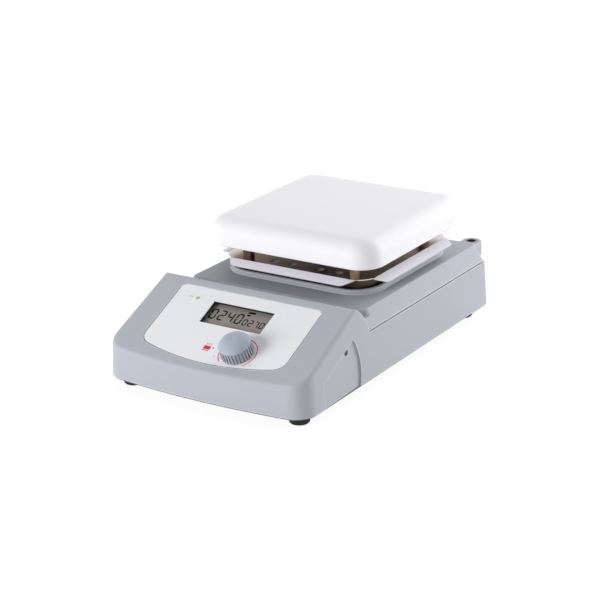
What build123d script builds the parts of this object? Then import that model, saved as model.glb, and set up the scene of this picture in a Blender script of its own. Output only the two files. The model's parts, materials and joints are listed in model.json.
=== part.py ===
"""Laboratory hot plate with a square enamelled top, a sloping console and one heat knob.

Millimetres. X runs to the right, Y to the back, Z up, with the origin on the bench under
the middle of the whole object. Every piece that comes apart on a bench is its own solid.
"""

from build123d import *
from math import asin, atan2, cos, degrees, radians, sin, sqrt
import os

os.makedirs("parts", exist_ok=True)

# Body
body_width = 213.8
body_depth = 342.4
front_bow = 7.2
body_draft = 3.4
front_corner_radius = 19.5
rear_corner_radius = 9.0
body_wall = 3.0
parting_height = 43.1
foot_height = 9.1
base_thickness = 1.5
base_reveal = 1.2
rod_lug_reach = 14.0

# Console
front_wall_height = 29.9
console_angle = 24.65
console_length = 0.2868 * body_depth
console_edge_radius = 3.8
cheek_radius = 0.1343 * body_depth
cheek_start_angle = 59.0

# Rear cover
cover_ledge = 1.0
parting_groove = 1.0
cover_height = 15.3
cover_side_lean = 9.1
cover_rear_lean = 2.0
cover_wall = 3.0
cover_corner_radius = 6.5
cover_edge_radius = 2.0
valley_depth = 6.2
lip_gap = 28.6
tongue_depth = 6.0
tongue_thickness = 2.0
seam_gap = 0.4

# Heater opening, dish, shield and enamelled top
heater_setback = 0.3221 * body_depth
collar_margin = 25.1
collar_half = body_width / 2 - collar_margin
collar_radius = 30.0
collar_height = 4.0
collar_lean = 1.2
collar_wall = 3.0
collar_edge_chamfer = 0.8
shelf_depth = 7.8
shelf_thickness = 2.4
shelf_reach = 25.0
shelf_corner_radius = 8.0
sheet_thickness = 0.8
dish_gap = 2.6
shield_inset = 0.5
shield_half = collar_half - shield_inset
shield_radius = 25.0
shield_lift = 14.7
brim_length = 10.9
brim_angle = 16.1
brim_root_inset = 13.3
brim_tip_inset = 21.3
brim_root = shield_half - brim_root_inset
brim_tip = shield_half - brim_tip_inset
brim_corner_radius = 6.5
plate_margin = 14.9
plate_half = body_width / 2 - plate_margin
plate_corner_radius = 23.2
plate_height = 26.0
plate_edge_radius = 16.8
plate_draft = 4.0
plate_wall = 3.0
plate_gap = 13.9
stud_inset = (34.0, 28.0)
stud_spread_x = plate_half - stud_inset[0]
stud_spread_y = plate_half - stud_inset[1]
stud_radius = 2.0
sleeve_radius = 5.5
bolt_clearance = 0.3
thread_gap = 0.02

# Console furniture, in the console's own plane: across, and up the slope
overlay_margin = 31.2
overlay_half = body_width / 2 - overlay_margin
overlay_head = 9.2
overlay_top = console_length - overlay_head
overlay_low_middle = 2.9
overlay_low_side = 14.9
overlay_thickness = 0.7
overlay_recess = 0.8
overlay_gap = 0.4
overlay_low_radius = 13.0
overlay_top_radius = 6.5
display_x = 0.1
display_s = 0.6303 * console_length
display_width = 65.0
display_height = 27.2
knob_inset = 50.4
knob_x = overlay_half - knob_inset
knob_s = 22.2
knob_radius = 15.0
knob_skirt = 10.6
knob_height = 16.2
knob_lift = 0.9
led_inset = 25.1
led_x = led_inset - overlay_half
led_s = 0.7658 * console_length
led_radius = 1.75
led_edge_chamfer = 0.7
bush_radius = 4.5
board_depth = 12.0
board_thickness = 1.6

# Feet
foot_radius = 9.4
foot_side_inset = 17.9
front_foot_inset = 25.0
rear_foot_inset = 23.0

# Places that follow from the sizes above
half_width = body_width / 2
foot_x = half_width - foot_side_inset
front_y = -(body_depth + rod_lug_reach) / 2
rear_y = front_y + body_depth
corner_y = front_y + front_bow
wall_foot_z = foot_height + base_thickness
parting_z = wall_foot_z + parting_height
lean = sin(radians(body_draft)) / cos(radians(body_draft))
slope = radians(console_angle)
slope_z = wall_foot_z + front_wall_height
apex_y = corner_y + console_length * cos(slope)
apex_z = slope_z + console_length * sin(slope)
cheek_y = apex_y - cheek_radius * cos(radians(cheek_start_angle))
cheek_z = apex_z - cheek_radius * sin(radians(cheek_start_angle))
cover_foot_z = parting_z + parting_groove
cover_top_z = cover_foot_z + cover_height
lip_y = apex_y + lip_gap
valley_z = cover_top_z - valley_depth
heater_y = rear_y - heater_setback
collar_top_z = cover_top_z + collar_height
shelf_z = cover_top_z - shelf_depth
shield_top_z = cover_top_z + shield_lift
plate_z = shield_top_z + plate_gap
stud_places = [(x, y) for x in (-stud_spread_x, stud_spread_x) for y in (-stud_spread_y, stud_spread_y)]
foot_places = [
    (x, y) for x in (-foot_x, foot_x) for y in (front_y + front_foot_inset, rear_y - rear_foot_inset)
]

console = Plane(origin=(0, corner_y, slope_z), x_dir=(1, 0, 0), z_dir=(0, -sin(slope), cos(slope)))
heater = Plane(origin=(0, heater_y, 0), x_dir=(1, 0, 0), z_dir=(0, 0, 1))
rear_wall = Plane(
    origin=(0, rear_y, wall_foot_z),
    x_dir=(-1, 0, 0),
    z_dir=(0, cos(radians(body_draft)), sin(radians(body_draft))),
)


def finish(piece, name):
    """Name a finished piece and write it out."""
    piece.part.label = name
    export_step(piece.part, f"parts/{name}.step")


def body_outline(inset):
    """The body's plan at the wall foot, drawn inwards by inset."""
    with BuildSketch() as outline:
        with BuildLine():
            ThreePointArc((-half_width, corner_y), (0, front_y), (half_width, corner_y))
            Polyline(
                (half_width, corner_y),
                (half_width, rear_y),
                (-half_width, rear_y),
                (-half_width, corner_y),
            )
        make_face()
        fillet(outline.vertices().group_by(Axis.Y)[0], front_corner_radius)
        fillet(outline.vertices().group_by(Axis.Y)[-1], rear_corner_radius)
        if inset:
            offset(amount=-inset, mode=Mode.REPLACE)
    return outline.sketch


def side_profile(inset, rim_z):
    """The body seen from its right, with the console and the cheek's arc drawn inwards by inset."""
    margin = 12
    radius = cheek_radius - inset
    start_y = corner_y + inset * sin(slope)
    start_z = slope_z - inset * cos(slope)
    across = start_y - cheek_y
    up = start_z - cheek_z
    along = across * cos(slope) + up * sin(slope)
    run = sqrt(along**2 - across**2 - up**2 + radius**2) - along
    top = (start_y + run * cos(slope), start_z + run * sin(slope))
    top_angle = atan2(top[1] - cheek_z, top[0] - cheek_y)
    end_angle = asin((rim_z - cheek_z) / radius)
    middle = (top_angle + end_angle) / 2
    back = margin / cos(slope) + front_bow / cos(slope)
    with BuildSketch(Plane.YZ) as profile:
        with BuildLine():
            Polyline(
                (cheek_y + radius * cos(end_angle), rim_z),
                (rear_y + margin, rim_z),
                (rear_y + margin, wall_foot_z),
                (start_y - back * cos(slope), wall_foot_z),
                (start_y - back * cos(slope), start_z - back * sin(slope)),
                top,
            )
            ThreePointArc(
                top,
                (cheek_y + radius * cos(middle), cheek_z + radius * sin(middle)),
                (cheek_y + radius * cos(end_angle), rim_z),
            )
        make_face()
    return profile.sketch


def body_form(inset, rim_z):
    """The closed form of the lower housing, drawn inwards by inset everywhere but at its foot."""
    with BuildPart() as form:
        with BuildSketch(Plane.XY.offset(wall_foot_z)):
            add(body_outline(inset))
        extrude(amount=apex_z - wall_foot_z + 2, taper=body_draft)
        extrude(side_profile(inset, rim_z), amount=body_width, both=True, mode=Mode.INTERSECT)
    return form


def overlay_outline(inset):
    """The front overlay's outline in the console's plane, drawn inwards by inset."""
    with BuildSketch() as outline:
        with BuildLine():
            ThreePointArc(
                (-overlay_half, overlay_low_side), (0, overlay_low_middle), (overlay_half, overlay_low_side)
            )
            Polyline(
                (overlay_half, overlay_low_side),
                (overlay_half, overlay_top),
                (-overlay_half, overlay_top),
                (-overlay_half, overlay_low_side),
            )
        make_face()
        fillet(outline.vertices().group_by(Axis.Y)[0], overlay_low_radius)
        fillet(outline.vertices().group_by(Axis.Y)[-1], overlay_top_radius)
        if inset:
            offset(amount=-inset, mode=Mode.REPLACE)
    return outline.sketch


# Lower housing
board_margin = 36.9
board_head = 11.2
board_width = 2 * (half_width - board_margin)
board_low = 9.0
board_high = console_length - board_head
board_post_inset = (8.0, 6.0)
board_posts = [
    (side * (board_width / 2 - board_post_inset[0]), s)
    for side in (-1, 1)
    for s in (board_low + board_post_inset[1], board_high - board_post_inset[1])
]
post_radius = 3.6
post_bore_radius = 1.3
post_bore_depth = 6.0
boss_radius = 5.5
boss_height = 20.0
foot_screw_radius = 2.0
pocket_front = 32.0
pocket_length = 60.0
pocket_below_console = 20.4
pocket_arc_radius = 52.0
pocket_arc_run = 40.1
pocket_arc_rise = 15.0
pocket_arc_y = corner_y + pocket_arc_run
pocket_arc_z = wall_foot_z + pocket_arc_rise
pocket_shallow = 0.4
pocket_deep = 2.0
side_screw_run = 71.8
side_screw_rise = 36.8
side_screw_y = corner_y + side_screw_run
side_screw_z = wall_foot_z + side_screw_rise
side_hole_radius = 3.2
side_boss_radius = 4.6
side_boss_length = 10.0
side_screw_radius = 1.5
rest_rib_thickness = 2.5
rest_rib_reach = 4.0
rest_rib_places = [lip_y + 14, heater_y - 30, rear_y - rear_foot_inset - 25.3]
inlet_x = 0.5426 * half_width
switch_x = 0.1123 * half_width
sensor_x = -0.2806 * half_width
port_x = -0.58 * half_width
socket_height = 22.0
inlet_body = (27.0, 19.6)
inlet_screw_spacing = 40.0
panel_screw_radius = 1.5
switch_body = (20.4, 13.0)
sensor_body_radius = 6.0
port_body = (19.6, 10.8)
cut_clearance = 0.3


def pocket_outline():
    """A cheek's finger pocket from the side: upright front, top along the console, arc at the rear."""
    rise = sin(slope) / cos(slope)
    top_z = slope_z - pocket_below_console / cos(slope)
    pocket_back = pocket_front + pocket_length
    with BuildSketch() as outline:
        with BuildLine():
            Polyline(
                (corner_y + pocket_front, wall_foot_z - 1),
                (corner_y + pocket_front, top_z + pocket_front * rise),
                (corner_y + pocket_back, top_z + pocket_back * rise),
                (corner_y + pocket_back, wall_foot_z - 1),
                close=True,
            )
        make_face()
        with Locations((pocket_arc_y, pocket_arc_z)):
            Circle(pocket_arc_radius, mode=Mode.INTERSECT)
    return outline.sketch


side_seat_depth = 2.8
side_inner_x = half_width - lean * (side_screw_z - wall_foot_z) - body_wall
side_screw_seats = [
    Plane(origin=(side * side_inner_x, side_screw_y, side_screw_z), z_dir=(side, 0, lean)) for side in (-1, 1)
]

hull = body_form(0, parting_z)
hollow = body_form(body_wall, parting_z + 8)

with BuildPart() as rest_ribs:
    with BuildSketch(Plane.XY.offset(wall_foot_z)):
        for y in rest_rib_places:
            for side in (-1, 1):
                with Locations((side * (half_width - (body_wall + rest_rib_reach) / 2), y)):
                    Rectangle(body_wall + rest_rib_reach, rest_rib_thickness)
    extrude(amount=parting_height - tongue_depth)
    add(hull.part, mode=Mode.INTERSECT)

with BuildPart() as lower_housing:
    add(hull.part)
    slope_face = lower_housing.faces().filter_by(console).sort_by(Axis.Z)[-1]
    fillet(slope_face.edges(), console_edge_radius)
    add(hollow.part, mode=Mode.SUBTRACT)
    # bosses that take the foot screws, tied to the side walls by ribs
    with BuildSketch(Plane.XY.offset(wall_foot_z)):
        with Locations(*foot_places):
            Circle(boss_radius)
        for x, y in foot_places:
            side = 1 if x > 0 else -1
            with Locations((side * (foot_x + half_width - body_wall) / 2, y)):
                Rectangle(half_width - body_wall - foot_x + 2, rest_rib_thickness)
    extrude(amount=boss_height)
    # ribs whose tops carry the rear cover
    add(rest_ribs.part)
    # posts for the control board under the console
    with BuildSketch(console.offset(-board_depth)):
        with Locations(*board_posts):
            Circle(post_radius)
    extrude(amount=board_depth - body_wall + 0.5)
    with BuildSketch(Plane.XY.offset(wall_foot_z)):
        with Locations(*foot_places):
            Circle(foot_screw_radius)
    extrude(amount=boss_height - 3, mode=Mode.SUBTRACT)
    # overlay recess, then the holes for the display, the heat control's bushing and the lamp
    with BuildSketch(console.offset(-overlay_recess)):
        add(overlay_outline(-overlay_gap))
    extrude(amount=console_edge_radius + overlay_recess, mode=Mode.SUBTRACT)
    with BuildSketch(console):
        with Locations((display_x, display_s)):
            RectangleRounded(display_width + 2, display_height + 2, 1)
        with Locations((knob_x, knob_s)):
            Circle(bush_radius + bolt_clearance)
        with Locations((led_x, led_s)):
            Circle(led_radius + bolt_clearance)
    extrude(amount=-body_wall - 1, mode=Mode.SUBTRACT)
    with BuildSketch(console.offset(-board_depth)):
        with Locations(*board_posts):
            Circle(post_bore_radius)
    extrude(amount=post_bore_depth, mode=Mode.SUBTRACT)
    # finger pockets in the cheeks, deeper towards their rear arc, and the screw hole in each
    for side in (-1, 1):
        floor = Plane(
            origin=(side * (half_width - pocket_shallow), corner_y + pocket_front, wall_foot_z),
            x_dir=(-side * (pocket_deep - pocket_shallow), pocket_length, 0),
            z_dir=(side, (pocket_deep - pocket_shallow) / pocket_length, lean),
        )
        with BuildSketch(Plane.YZ, mode=Mode.PRIVATE) as cut:
            add(pocket_outline())
        block = extrude(cut.sketch, amount=side * (half_width + 5), mode=Mode.PRIVATE)
        add(split(block, bisect_by=floor, keep=Keep.TOP, mode=Mode.PRIVATE), mode=Mode.SUBTRACT)
    for screw_seat in side_screw_seats:
        with BuildSketch(screw_seat):
            Circle(side_boss_radius)
        extrude(amount=-side_boss_length)
        with BuildSketch(screw_seat.offset(-side_seat_depth)):
            Circle(side_hole_radius)
        extrude(amount=2 * body_wall + side_seat_depth, mode=Mode.SUBTRACT)
        with BuildSketch(screw_seat.offset(-side_boss_length)):
            Circle(side_screw_radius)
        extrude(amount=side_boss_length, mode=Mode.SUBTRACT)
    # openings in the rear wall
    with BuildSketch(rear_wall):
        with Locations((inlet_x, socket_height)):
            Rectangle(inlet_body[0] + cut_clearance, inlet_body[1] + cut_clearance)
            with GridLocations(inlet_screw_spacing, 0, 2, 1):
                Circle(panel_screw_radius)
        with Locations((switch_x, socket_height)):
            Rectangle(switch_body[1] + cut_clearance, switch_body[0] + cut_clearance)
        with Locations((sensor_x, socket_height)):
            Circle(sensor_body_radius + cut_clearance / 2)
        with Locations((port_x, socket_height)):
            Rectangle(port_body[0] + cut_clearance, port_body[1] + cut_clearance)
    extrude(amount=body_wall + 3, both=True, mode=Mode.SUBTRACT)
finish(lower_housing, "lower_housing")

# Base plate, feet and the screws that hold them
vent_rows = 4
vent_size = (60.0, 4.0)
vent_pitch = (72.0, 9.0)
foot_bore = 2.2
foot_recess_radius = 4.6
foot_recess_depth = 3.4
foot_taper = 2.0
foot_draft_inset = 0.3
foot_edge_chamfer = 1.2
screw_head_radius = 4.0
screw_head_height = 2.6
cover_boss_inset = 18.9
cover_boss_setback = 12.0
cover_boss_spacing = 15.3
cover_boss_x = half_width - cover_boss_inset
cover_boss_rear_y = rear_y - rear_foot_inset - cover_boss_spacing
cover_boss_places = [
    (x, y) for x in (-cover_boss_x, cover_boss_x) for y in (lip_y + cover_boss_setback, cover_boss_rear_y)
]
cover_boss_radius = 4.6
cover_screw_radius = 1.5
cover_screw_head = (3.0, 2.0)
cover_screw_grip = 10.0
standoff_height = 7.0
standoff_radius = 3.0
standoff_stud_radius = 1.5
power_board_size = (104.0, 84.0)
power_board_y = heater_y + 18
power_hole_inset = 6.0
power_hole_x = power_board_size[0] / 2 - power_hole_inset
power_hole_y = power_board_size[1] / 2 - power_hole_inset
power_board_holes = [
    (x, power_board_y + y) for x in (-power_hole_x, power_hole_x) for y in (-power_hole_y, power_hole_y)
]

with BuildPart() as base_plate:
    with BuildSketch(Plane.XY.offset(foot_height)):
        add(body_outline(base_reveal))
    extrude(amount=base_thickness)
    with BuildSketch(Plane.XY.offset(foot_height)):
        with Locations(*foot_places):
            Circle(foot_bore)
        with Locations(*cover_boss_places):
            Circle(cover_screw_radius)
        with Locations(*power_board_holes):
            Circle(standoff_stud_radius + thread_gap)
        with Locations((0, lip_y - 10)):
            with GridLocations(*vent_pitch, 2, vent_rows):
                SlotOverall(*vent_size)
    extrude(amount=base_thickness, mode=Mode.SUBTRACT)
finish(base_plate, "base_plate")

with BuildPart() as feet:
    with BuildSketch():
        with Locations(*foot_places):
            Circle(foot_radius - foot_draft_inset)
    extrude(amount=foot_height, taper=-foot_taper)
    bottom_edges = feet.faces().group_by(Axis.Z)[0].edges()
    chamfer(bottom_edges, foot_edge_chamfer)
    with BuildSketch():
        with Locations(*foot_places):
            Circle(foot_recess_radius)
    extrude(amount=foot_recess_depth, mode=Mode.SUBTRACT)
    with BuildSketch():
        with Locations(*foot_places):
            Circle(foot_bore)
    extrude(amount=foot_height, mode=Mode.SUBTRACT)
finish(feet, "feet")

foot_screw_length = foot_height - foot_recess_depth + base_thickness + boss_height - 6
cross_slot = (4.6, 1.0)
cross_depth = 1.2

with BuildPart() as foot_screws:
    with BuildSketch(Plane.XY.offset(foot_recess_depth - screw_head_height)):
        with Locations(*foot_places):
            Circle(screw_head_radius)
    extrude(amount=screw_head_height)
    with BuildSketch(Plane.XY.offset(foot_recess_depth)):
        with Locations(*foot_places):
            Circle(foot_screw_radius - thread_gap)
    extrude(amount=foot_screw_length)
    head_face = Plane(origin=(0, 0, foot_recess_depth - screw_head_height), z_dir=(0, 0, -1))
    with BuildSketch(head_face):
        with Locations(*[(x, -y) for x, y in foot_places]):
            Rectangle(*cross_slot)
            Rectangle(*cross_slot, rotation=90)
    extrude(amount=-cross_depth, mode=Mode.SUBTRACT)
finish(foot_screws, "foot_screws")

# Rear cover with its raised collar and the well that carries the dish
cover_half_foot = half_width - lean * parting_height - cover_ledge
cover_half_top = cover_half_foot - cover_side_lean
cover_rear_foot = rear_y - lean * parting_height - cover_ledge
cover_rear_top = cover_rear_foot - cover_rear_lean
cover_start = cheek_y + cheek_radius / 2
cover_clear_radius = cheek_radius + seam_gap
rod_x = 84.0
rod_lug_radius = 10.0
rod_y = rear_y + rod_lug_reach - rod_lug_radius
rod_lug_drop = 1.2
rod_lug_edge_radius = 1.5
insert_radius = 7.0
insert_clearance = 0.02
insert_height = 12.0
insert_relief = (5.0, 1.0)
rod_thread_radius = 4.25


def cover_form(inset, start, round_front):
    """A straight loft from the cover's foot to its top, from start to the rear, drawn inwards by inset."""
    with BuildPart() as form:
        for z, half, rear in (
            (cover_foot_z, cover_half_foot, cover_rear_foot),
            (cover_top_z, cover_half_top, cover_rear_top),
        ):
            with BuildSketch(Plane.XY.offset(z)) as ring:
                with Locations((0, (start + rear - inset) / 2)):
                    Rectangle(2 * (half - inset), rear - inset - start)
                rounded = ring.vertices() if round_front else ring.vertices().group_by(Axis.Y)[-1]
                fillet(rounded, cover_corner_radius - inset)
        loft()
    return form


def cheek_bar(radius):
    """A bar across the body that fills the cheek's arc out to the given radius."""
    with BuildPart() as bar:
        with BuildSketch(Plane.YZ):
            with Locations((cheek_y, cheek_z)):
                Circle(radius)
        extrude(amount=body_width, both=True)
    return bar


def tongue_form(inset):
    """The drafted inside of the housing's rim, where the cover's tongue goes."""
    with BuildPart() as form:
        with BuildSketch(Plane.XY.offset(wall_foot_z)):
            add(body_outline(inset))
        extrude(amount=parting_height + 6, taper=body_draft)
    return form


with BuildPart() as cover_low:
    add(cover_form(0, cover_start, False).part)
    split(bisect_by=Plane.XY.offset(valley_z), keep=Keep.BOTTOM)

with BuildPart() as cover_block:
    add(cover_form(0, lip_y, True).part)
    top_face = cover_block.faces().filter_by(Plane.XY).sort_by(Axis.Z)[-1]
    fillet(top_face.edges(), cover_edge_radius)

with BuildPart() as low_hollow:
    add(cover_form(cover_wall, cover_start, False).part)
    split(bisect_by=Plane.XY.offset(valley_z - cover_wall), keep=Keep.BOTTOM)

with BuildPart() as cover_hollow:
    add(cover_form(cover_wall, lip_y + cover_wall, True).part)
    split(bisect_by=Plane.XY.offset(cover_top_z - cover_wall), keep=Keep.BOTTOM)
    add(low_hollow.part)
    add(cheek_bar(cover_clear_radius + cover_wall).part, mode=Mode.SUBTRACT)

with BuildPart() as tongue:
    add(tongue_form(body_wall + seam_gap).part)
    add(tongue_form(body_wall + seam_gap + tongue_thickness).part, mode=Mode.SUBTRACT)
    with BuildSketch(Plane.XY.offset(parting_z - tongue_depth)):
        with Locations((0, lip_y + body_depth / 2)):
            Rectangle(body_width, body_depth)
    extrude(amount=tongue_depth + parting_groove + cover_wall, mode=Mode.INTERSECT)

with BuildPart() as upper_cover:
    add(cover_low.part)
    add(cover_block.part)
    add(cheek_bar(cover_clear_radius).part, mode=Mode.SUBTRACT)
    add(cover_hollow.part, mode=Mode.SUBTRACT)
    add(tongue.part)
    # bosses that reach down to the base plate
    with BuildSketch(Plane.XY.offset(wall_foot_z)):
        with Locations(*cover_boss_places):
            Circle(cover_boss_radius)
    extrude(amount=cover_top_z - cover_wall / 2 - wall_foot_z)
    # collar and the wall of its well
    with BuildSketch(heater.offset(cover_top_z - 0.5)):
        RectangleRounded(2 * collar_half, 2 * collar_half, collar_radius)
    extrude(amount=collar_height + 0.5, taper=degrees(atan2(collar_lean, collar_height)))
    collar_face = upper_cover.faces().filter_by(Plane.XY).sort_by(Axis.Z)[-1]
    chamfer(collar_face.edges(), collar_edge_chamfer)
    well_half = collar_half - collar_lean - collar_wall
    well_radius = collar_radius - collar_lean - collar_wall
    with BuildSketch(heater.offset(shelf_z - shelf_thickness)):
        well_outer = 2 * (well_half + shelf_thickness)
        RectangleRounded(well_outer, well_outer, well_radius)
    extrude(amount=cover_top_z - shelf_z + shelf_thickness)
    with BuildSketch(heater.offset(shelf_z)):
        RectangleRounded(2 * well_half, 2 * well_half, well_radius)
    extrude(amount=2 * collar_height + shelf_depth, mode=Mode.SUBTRACT)
    with BuildSketch(heater.offset(shelf_z - shelf_thickness)):
        RectangleRounded(2 * (well_half - shelf_reach), 2 * (well_half - shelf_reach), shelf_corner_radius)
        with Locations(*stud_places):
            Circle(stud_radius + bolt_clearance)
    extrude(amount=shelf_thickness, mode=Mode.SUBTRACT)
    # lug for the support rod
    with BuildSketch(Plane.XY.offset(cover_foot_z)):
        with Locations((rod_x, rod_y)):
            Circle(rod_lug_radius)
        with Locations((rod_x, (rod_y + cover_rear_top) / 2 - 1)):
            Rectangle(2 * rod_lug_radius, rod_y - cover_rear_top + 2)
    extrude(amount=cover_height - rod_lug_drop)
    lug_top = upper_cover.faces().filter_by(Plane.XY).filter_by(
        lambda face: abs(face.center().Z - cover_top_z + rod_lug_drop) < 0.01
    ).sort_by(Axis.Y)[-1]
    fillet(lug_top.edges().filter_by(GeomType.CIRCLE), rod_lug_edge_radius)
    with Locations((rod_x, rod_y, cover_top_z - rod_lug_drop)):
        Hole(insert_radius, depth=insert_height)
        Hole(insert_relief[0], depth=insert_height + insert_relief[1])
    with Locations(*[(x, y, wall_foot_z) for x, y in cover_boss_places]):
        with Locations(Location((0, 0, 0), (180, 0, 0))):
            Hole(cover_screw_radius, depth=cover_screw_grip + 2)
finish(upper_cover, "upper_cover")

with BuildPart() as rod_insert:
    with BuildSketch(Plane.XY.offset(cover_top_z - rod_lug_drop - insert_height)):
        with Locations((rod_x, rod_y)):
            Circle(insert_radius - insert_clearance)
            Circle(rod_thread_radius, mode=Mode.SUBTRACT)
    extrude(amount=insert_height)
finish(rod_insert, "rod_insert")

with BuildPart() as cover_screws:
    with BuildSketch(Plane.XY.offset(foot_height - cover_screw_head[1])):
        with Locations(*cover_boss_places):
            Circle(cover_screw_head[0])
    extrude(amount=cover_screw_head[1])
    with BuildSketch(Plane.XY.offset(foot_height)):
        with Locations(*cover_boss_places):
            Circle(cover_screw_radius - thread_gap)
    extrude(amount=base_thickness + cover_screw_grip)
finish(cover_screws, "cover_screws")

# Dish, heat shield and the sleeves between them
dish_half = well_half - dish_gap
dish_radius = well_radius - dish_gap
sheet_low_z = shield_top_z - sheet_thickness
dish_bend = 2.0
fibre_gap = 0.4
fibre_half = dish_half - 5
nut_radius = 3.8
nut_height = 3.2

with BuildPart() as dish_hollow:
    with BuildSketch(heater.offset(shelf_z + sheet_thickness)):
        dish_inner_half = dish_half - sheet_thickness
        RectangleRounded(2 * dish_inner_half, 2 * dish_inner_half, dish_radius - sheet_thickness)
    extrude(amount=sheet_low_z - shelf_z - sheet_thickness)
    chamfer(dish_hollow.faces().sort_by(Axis.Z)[0].edges(), dish_bend)

with BuildPart() as reflector_dish:
    with BuildSketch(heater.offset(shelf_z)):
        RectangleRounded(2 * dish_half, 2 * dish_half, dish_radius)
    extrude(amount=sheet_low_z - shelf_z)
    chamfer(reflector_dish.faces().sort_by(Axis.Z)[0].edges(), dish_bend)
    add(dish_hollow.part, mode=Mode.SUBTRACT)
    with BuildSketch(heater.offset(shelf_z)):
        with Locations(*stud_places):
            Circle(stud_radius + bolt_clearance)
    extrude(amount=sheet_thickness, mode=Mode.SUBTRACT)
finish(reflector_dish, "reflector_dish")

with BuildPart() as dish_insulation:
    with BuildSketch(heater.offset(shelf_z + sheet_thickness + fibre_gap)):
        RectangleRounded(2 * fibre_half, 2 * fibre_half, dish_radius - dish_half + fibre_half)
        with Locations(*stud_places):
            Circle(sleeve_radius + 2 * fibre_gap, mode=Mode.SUBTRACT)
    extrude(amount=sheet_low_z - shelf_z - sheet_thickness - 2 * fibre_gap)
finish(dish_insulation, "dish_insulation")

with BuildPart() as lower_sleeves:
    with BuildSketch(heater.offset(shelf_z + sheet_thickness)):
        with Locations(*stud_places):
            Circle(sleeve_radius)
            Circle(stud_radius + bolt_clearance, mode=Mode.SUBTRACT)
    extrude(amount=sheet_low_z - shelf_z - sheet_thickness)
finish(lower_sleeves, "lower_sleeves")


def brim_plane(angle):
    """The plane of one brim: its origin on the bend, with the brim running along local -Y."""
    turn = radians(angle)
    drop = radians(brim_angle)
    return Plane(
        origin=(shield_half * sin(turn), heater_y - shield_half * cos(turn), shield_top_z),
        x_dir=(cos(turn), sin(turn), 0),
        z_dir=(sin(turn) * sin(drop), -cos(turn) * sin(drop), cos(drop)),
    )


vent_radius = 4.0
vent_inset = 13.0
vent_places = [(x, vent_inset - shield_half) for x in (-26, -6, 24, 44)]
brim_overlap = 1.0

with BuildPart() as heat_shield:
    with BuildSketch(heater.offset(sheet_low_z)):
        RectangleRounded(2 * shield_half, 2 * shield_half, shield_radius)
        with Locations(*stud_places):
            Circle(stud_radius + bolt_clearance, mode=Mode.SUBTRACT)
        for angle in range(0, 360, 90):
            with Locations(Location((0, 0, 0), (0, 0, angle))):
                with Locations(*vent_places):
                    Circle(vent_radius, mode=Mode.SUBTRACT)
    extrude(amount=sheet_thickness)
    for angle in range(0, 360, 90):
        with BuildSketch(brim_plane(angle)) as brim:
            with BuildLine():
                Polyline(
                    (-brim_root, brim_overlap),
                    (-brim_root, 0),
                    (-brim_tip, -brim_length),
                    (brim_tip, -brim_length),
                    (brim_root, 0),
                    (brim_root, brim_overlap),
                    close=True,
                )
            make_face()
            fillet(brim.vertices().group_by(Axis.Y)[0], brim_corner_radius)
        extrude(amount=-sheet_thickness)
finish(heat_shield, "heat_shield")

# Top plate with its heater stack
ceiling_z = plate_z + plate_height - plate_wall
element_inset = 19.0
element_half = plate_half - element_inset
element_thickness = 2.0
press_thickness = 2.5
pan_recess = 2.0
pan_thickness = 1.2
pan_z = plate_z + pan_recess
insulation_inset = 13.0
insulation_half = plate_half - insulation_inset
stack_gap = 0.1
element_z = ceiling_z - stack_gap - element_thickness
press_z = element_z - stack_gap - press_thickness
pan_gap = 0.6
pan_half = plate_half - plate_wall - pan_gap
element_corner_radius = 12.0
insulation_corner_radius = 14.0
plate_foot_radius = 1.2
plate_inner_chamfer = 0.55 * plate_edge_radius

with BuildPart() as plate_hollow:
    with BuildSketch(heater.offset(plate_z)):
        RectangleRounded(
            2 * (plate_half - plate_wall), 2 * (plate_half - plate_wall), plate_corner_radius - plate_wall
        )
    extrude(amount=plate_height - plate_wall, taper=plate_draft)
    chamfer(plate_hollow.faces().sort_by(Axis.Z)[-1].edges(), plate_inner_chamfer)

with BuildPart() as top_plate:
    with BuildSketch(heater.offset(plate_z)):
        RectangleRounded(2 * plate_half, 2 * plate_half, plate_corner_radius)
    extrude(amount=plate_height, taper=plate_draft)
    fillet(top_plate.faces().sort_by(Axis.Z)[-1].edges(), plate_edge_radius)
    fillet(top_plate.faces().sort_by(Axis.Z)[0].edges(), plate_foot_radius)
    add(plate_hollow.part, mode=Mode.SUBTRACT)
finish(top_plate, "top_plate")

with BuildPart() as heating_element:
    with BuildSketch(heater.offset(element_z)):
        RectangleRounded(2 * element_half, 2 * element_half, element_corner_radius)
    extrude(amount=element_thickness)
finish(heating_element, "heating_element")

with BuildPart() as pressure_plate:
    with BuildSketch(heater.offset(press_z)):
        RectangleRounded(2 * element_half, 2 * element_half, element_corner_radius)
    extrude(amount=press_thickness)
finish(pressure_plate, "pressure_plate")

sensor_size = (24.0, 5.0, 4.0)
cutout_radius = 8.0
cutout_height = 6.0
sensor_place = (0, -10)
cutout_place = (32, 24)
insulation_z = pan_z + pan_thickness + stack_gap

with BuildPart() as insulation_board:
    with BuildSketch(heater.offset(insulation_z)):
        RectangleRounded(2 * insulation_half, 2 * insulation_half, insulation_corner_radius)
    extrude(amount=press_z - stack_gap - insulation_z)
    with BuildSketch(heater.offset(press_z - stack_gap)):
        with Locations(sensor_place):
            Rectangle(sensor_size[0] + 2 * bolt_clearance, sensor_size[1] + 2 * bolt_clearance)
    extrude(amount=-sensor_size[2], mode=Mode.SUBTRACT)
    with BuildSketch(heater.offset(press_z - stack_gap)):
        with Locations(cutout_place):
            Circle(cutout_radius + bolt_clearance)
    extrude(amount=-cutout_height, mode=Mode.SUBTRACT)
finish(insulation_board, "insulation_board")

with BuildPart() as temperature_sensor:
    with BuildSketch(heater.offset(press_z - sensor_size[2])):
        with Locations(sensor_place):
            RectangleRounded(sensor_size[0], sensor_size[1], 1)
    extrude(amount=sensor_size[2])
finish(temperature_sensor, "temperature_sensor")

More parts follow.
